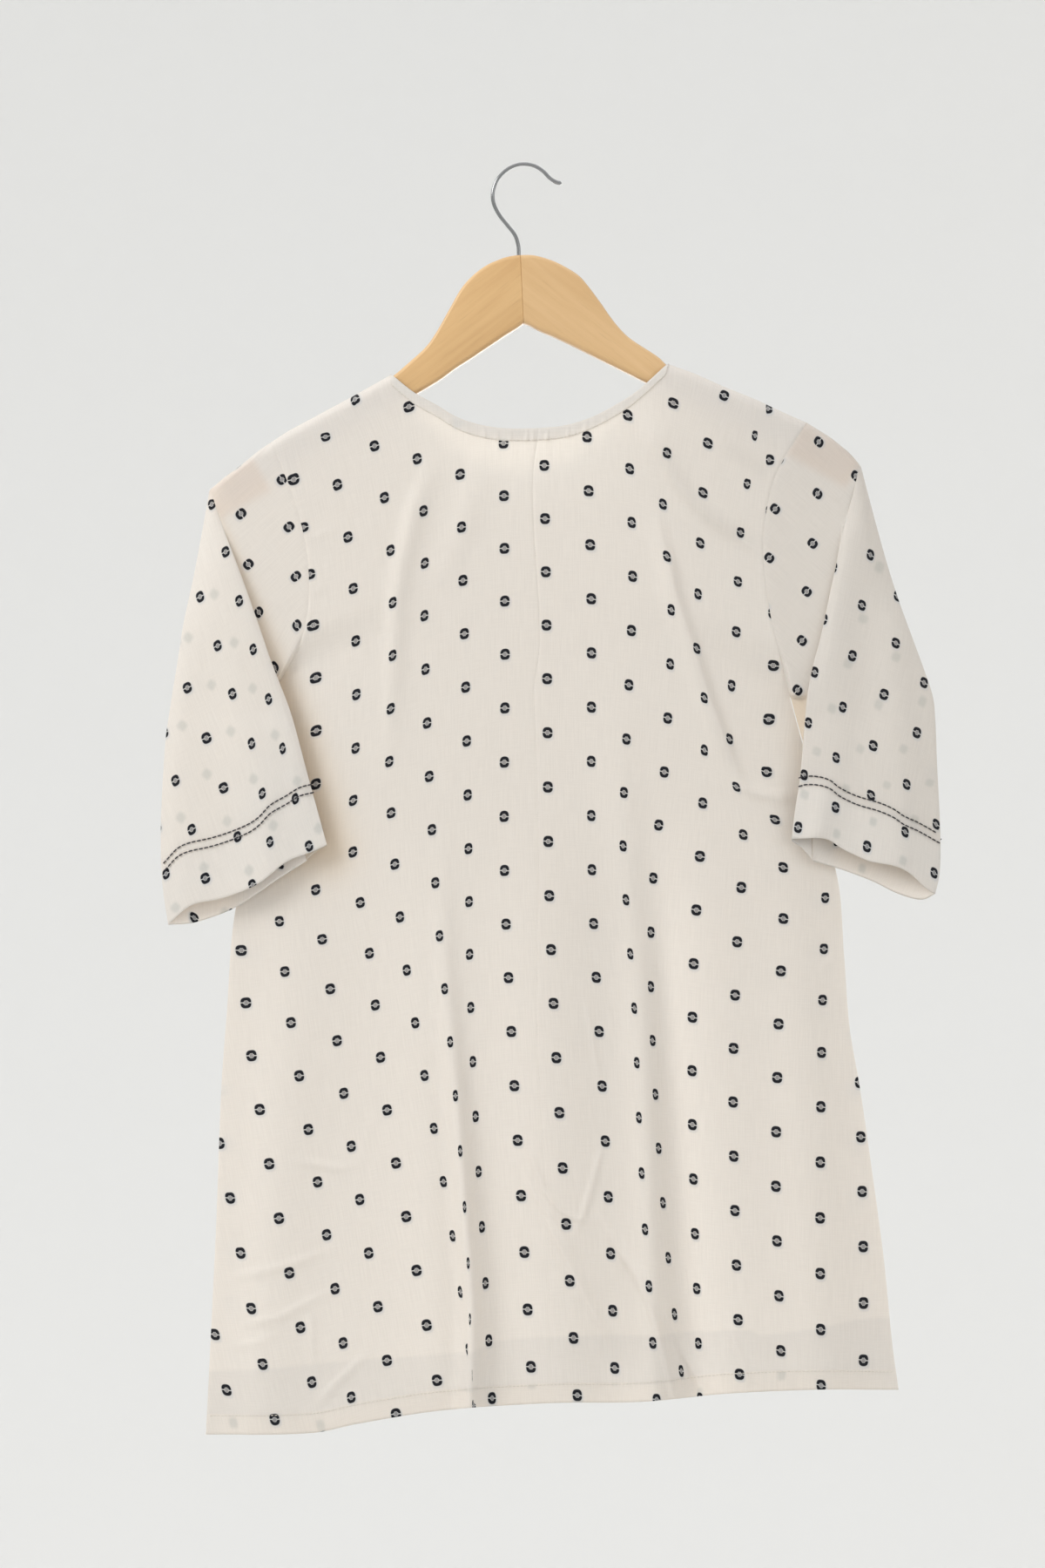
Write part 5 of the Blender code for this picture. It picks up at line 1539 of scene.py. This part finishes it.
def wood_material(name, light, dark, slope):
    """Clear-lacquered pale wood, its grain along the arm."""
    material, tree, shader = material_named(name)
    place = tree.nodes.new("ShaderNodeTexCoord").outputs["Object"]
    turned = tree.nodes.new("ShaderNodeMapping")
    turned.inputs["Rotation"].default_value = (0.0, slope, 0.0)
    put(tree, turned.inputs["Vector"], place)
    grain = noise(tree, turned.outputs["Vector"], 300.0, 3.0, (0.05, 1.0, 1.0))
    fine = noise(tree, turned.outputs["Vector"], 1800.0, 2.0, (0.03, 1.0, 1.0))
    bands = noise(tree, turned.outputs["Vector"], 45.0, 2.0, (0.16, 1.0, 1.0))
    share = plus(tree, times(tree, grain, 0.35), times(tree, bands, 0.65))
    colour = colour_mix(tree, ramp(tree, share, 0.28, 0.72), dark, light)
    pores = times(tree, ramp(tree, fine, 0.58, 0.75), 0.22)
    colour = colour_mix(tree, pores, colour, tuple(value * 0.6 for value in dark))
    put(tree, shader.inputs["Base Color"], colour)
    shader.inputs["Roughness"].default_value = 0.42
    shader.inputs["Coat Weight"].default_value = 0.3
    shader.inputs["Coat Roughness"].default_value = 0.22
    relief(tree, shader, grain, 0.06, 0.3)
    return material


def chrome_material():
    material, tree, shader = material_named("chromed_wire_polished")
    place = tree.nodes.new("ShaderNodeTexCoord").outputs["Object"]
    wear_marks = noise(tree, place, 500.0, 3.0)
    shader.inputs["Base Color"].default_value = (*CHROME, 1.0)
    shader.inputs["Metallic"].default_value = 1.0
    put(tree, shader.inputs["Roughness"], ramp_to(tree, wear_marks, 0.1, 0.26))
    return material


def ramp_to(tree, value, low, high):
    made = tree.nodes.new("ShaderNodeMapRange")
    put(tree, made.inputs["Value"], value)
    made.inputs["To Min"].default_value = low
    made.inputs["To Max"].default_value = high
    return made.outputs["Result"]


def rounded_section(top, foot, inset=0.0):
    """A rounded box through an arm, from its top edge to its bottom edge."""
    top, foot = np.asarray(top, float), np.asarray(foot, float)
    down = (foot - top) / np.linalg.norm(foot - top)
    half = np.linalg.norm(foot - top) / 2 - inset
    thick = HANGER_HALF_THICKNESS - inset
    radius = min(HANGER_EDGE_RADIUS, half * 0.9)
    centre = (top + foot) / 2
    points = []
    for turn in range(4):
        for i in range(6):
            angle = math.pi / 2 * (turn + i / 5)
            across = (half - radius) * (1 if turn in (0, 3) else -1) + radius * math.cos(angle)
            depth = (thick - radius) * (1 if turn in (0, 1) else -1) + radius * math.sin(angle)
            at = centre + down * across
            points.append((at[0], depth, at[1]))
    return points


def hanger_arm(side, material):
    """One wooden arm, its outline smooth and its long edges rounded."""
    path = smooth_path(HANGER_ARMS[side], 3.0)
    sections = [rounded_section(row[:2], row[2:]) for row in path]
    mitre = [rounded_section(path[0][:2], path[0][2:], 0.3)]
    shift = (path[1] - path[0]) * 0.12
    sections[0] = rounded_section(path[0][:2] + shift[:2], path[0][2:] + shift[2:])
    tip = [rounded_section(path[-1][:2], path[-1][2:], 1.2)]
    sections = mitre + sections[:-1] + tip
    count = len(sections[0])
    points = np.array(sections).reshape(-1, 3)
    faces = grid_faces(len(sections), count, wrap=True)
    if side == "right":
        faces = faces[:, ::-1]
    obj = new_mesh(f"hanger_{side}_arm_smooth", points, faces, material)
    mesh = obj.data
    last = len(points) - count
    ends = [list(range(count)), list(range(last, last + count))[::-1]]
    add_ends(mesh, ends if side == "right" else [end[::-1] for end in ends])
    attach(obj, BODY)
    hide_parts(f"hanger_arm_{side}")


def add_ends(mesh, ends):
    made = bmesh.new()
    made.from_mesh(mesh)
    made.verts.ensure_lookup_table()
    for end in ends:
        made.faces.new([made.verts[i] for i in end])
    bmesh.ops.recalc_face_normals(made, faces=made.faces)
    made.to_mesh(mesh)
    made.free()
    mesh.shade_smooth()
    mesh.set_sharp_from_angle(angle=math.radians(40))


def hanger_hook(material):
    """The wire hook, swept along its bend, with a rounded tip."""
    path = smooth_path(HOOK, 1.0)
    sides = 16
    points = []
    for i, (x, drop) in enumerate(path):
        ahead, behind = path[min(i + 1, len(path) - 1)], path[max(i - 1, 0)]
        run = (ahead - behind) / np.linalg.norm(ahead - behind)
        from_end = len(path) - 1 - i
        radius = HOOK_WIRE_RADIUS * math.sqrt(max(0.04, 1 - max(0.0, 1 - from_end / 1.4) ** 2))
        if 1 <= from_end <= 5:
            radius *= HOOK_TIP_SWELL
        for j in range(sides):
            angle = 2 * math.pi * j / sides
            off = radius * math.cos(angle)
            points.append((x + run[1] * off, radius * math.sin(angle), drop - run[0] * off))
    obj = new_mesh("hanger_wire_hook", points, grid_faces(len(path), sides, wrap=True), material)
    last = len(points) - sides
    add_ends(obj.data, [list(range(sides)), list(range(last, last + sides))])
    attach(obj, BODY)
    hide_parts("hanger_hook")


def build_hanger():
    for side in ("left", "right"):
        # Each arm has its own copy of the wood, the left one darker as painted shade.
        hanger_arm(side, wood_material(f"lacquered_wood_{side}", *WOODS_LIT_AND_SHADED[side]))
    hanger_hook(chrome_material())


def stage_material(colour):
    material, _, shader = material_named("pale_studio")
    shader.inputs["Base Color"].default_value = (*colour, 1.0)
    shader.inputs["Roughness"].default_value = 1.0
    shader.inputs["Specular IOR Level"].default_value = 0.0
    return material


def studio():
    """A pale floor that curves up all round, so that it looks the same from all sides."""
    flat = STAGE_REACH - STAGE_BEND
    profile = [(0.0, FLOOR_LEVEL), (flat, FLOOR_LEVEL)]
    for i in range(1, 13):
        angle = math.pi / 2 * i / 12
        rise = STAGE_BEND * (1 - math.cos(angle))
        profile.append((flat + STAGE_BEND * math.sin(angle), FLOOR_LEVEL + rise))
    profile.append((STAGE_REACH, FLOOR_LEVEL + STAGE_HEIGHT))
    points = []
    for radius, level in profile:
        for i in range(STAGE_SIDES):
            angle = 2 * math.pi * i / STAGE_SIDES
            place = (radius * math.cos(angle), radius * math.sin(angle), -level)
            points.append([value / MM for value in place])
    faces = grid_faces(len(profile), STAGE_SIDES, wrap=True)
    new_mesh("studio_floor", points, faces, stage_material(STAGE_COLOUR))


def area_light(name, place, size, power, colour):
    light = bpy.data.lights.new(name, "AREA")
    light.shape = "DISK"
    light.size = size
    light.energy = power
    light.color = colour
    obj = bpy.data.objects.new(name, light)
    obj.location = place
    aim = Vector(LIGHT_AIM) - Vector(place)
    obj.rotation_euler = aim.to_track_quat("-Z", "Y").to_euler()
    bpy.context.scene.collection.objects.link(obj)


def lighting():
    world = bpy.data.worlds.new("studio_light")
    world.use_nodes = True
    background = world.node_tree.nodes["Background"]
    background.inputs["Color"].default_value = (1.0, 1.0, 1.0, 1.0)
    background.inputs["Strength"].default_value = SKY_STRENGTH
    for light in LIGHTS:
        area_light(*light)
    scene = bpy.context.scene
    scene.world = world
    scene.view_settings.view_transform = "Standard"
    scene.view_settings.look = "None"


def camera():
    """Level with the middle of the view, square on to the back of the top."""
    data = bpy.data.cameras.new("view")
    data.sensor_width = SENSOR
    data.lens = SENSOR * (CAMERA_DISTANCE - CLOTH_NEARNESS) / VIEW_HEIGHT
    obj = bpy.data.objects.new("view", data)
    obj.location = (0.0, -CAMERA_DISTANCE, CAMERA_LEVEL)
    obj.rotation_euler = (math.radians(90), 0.0, 0.0)
    bpy.context.scene.collection.objects.link(obj)
    bpy.context.scene.camera = obj


def dress_top():
    cloth = woven_material()
    plain = plain_cloth_material()
    cream = thread_material("cream_thread", CREAM)
    black = thread_material("black_thread", BLACK)
    body_and_hems(cloth, cream)
    rows = [neck_binding("back", NECK_GATHERS, plain), neck_binding("front", (), plain)]
    stitch_mesh("neck_stitches", rows, CREAM_STITCH, cream)
    for side in ("left", "right"):
        points, steps = sleeve_piece(side, cloth)
        sleeve_stitches(side, points, steps, black)


dress_top()
build_hanger()
studio()
lighting()
camera()
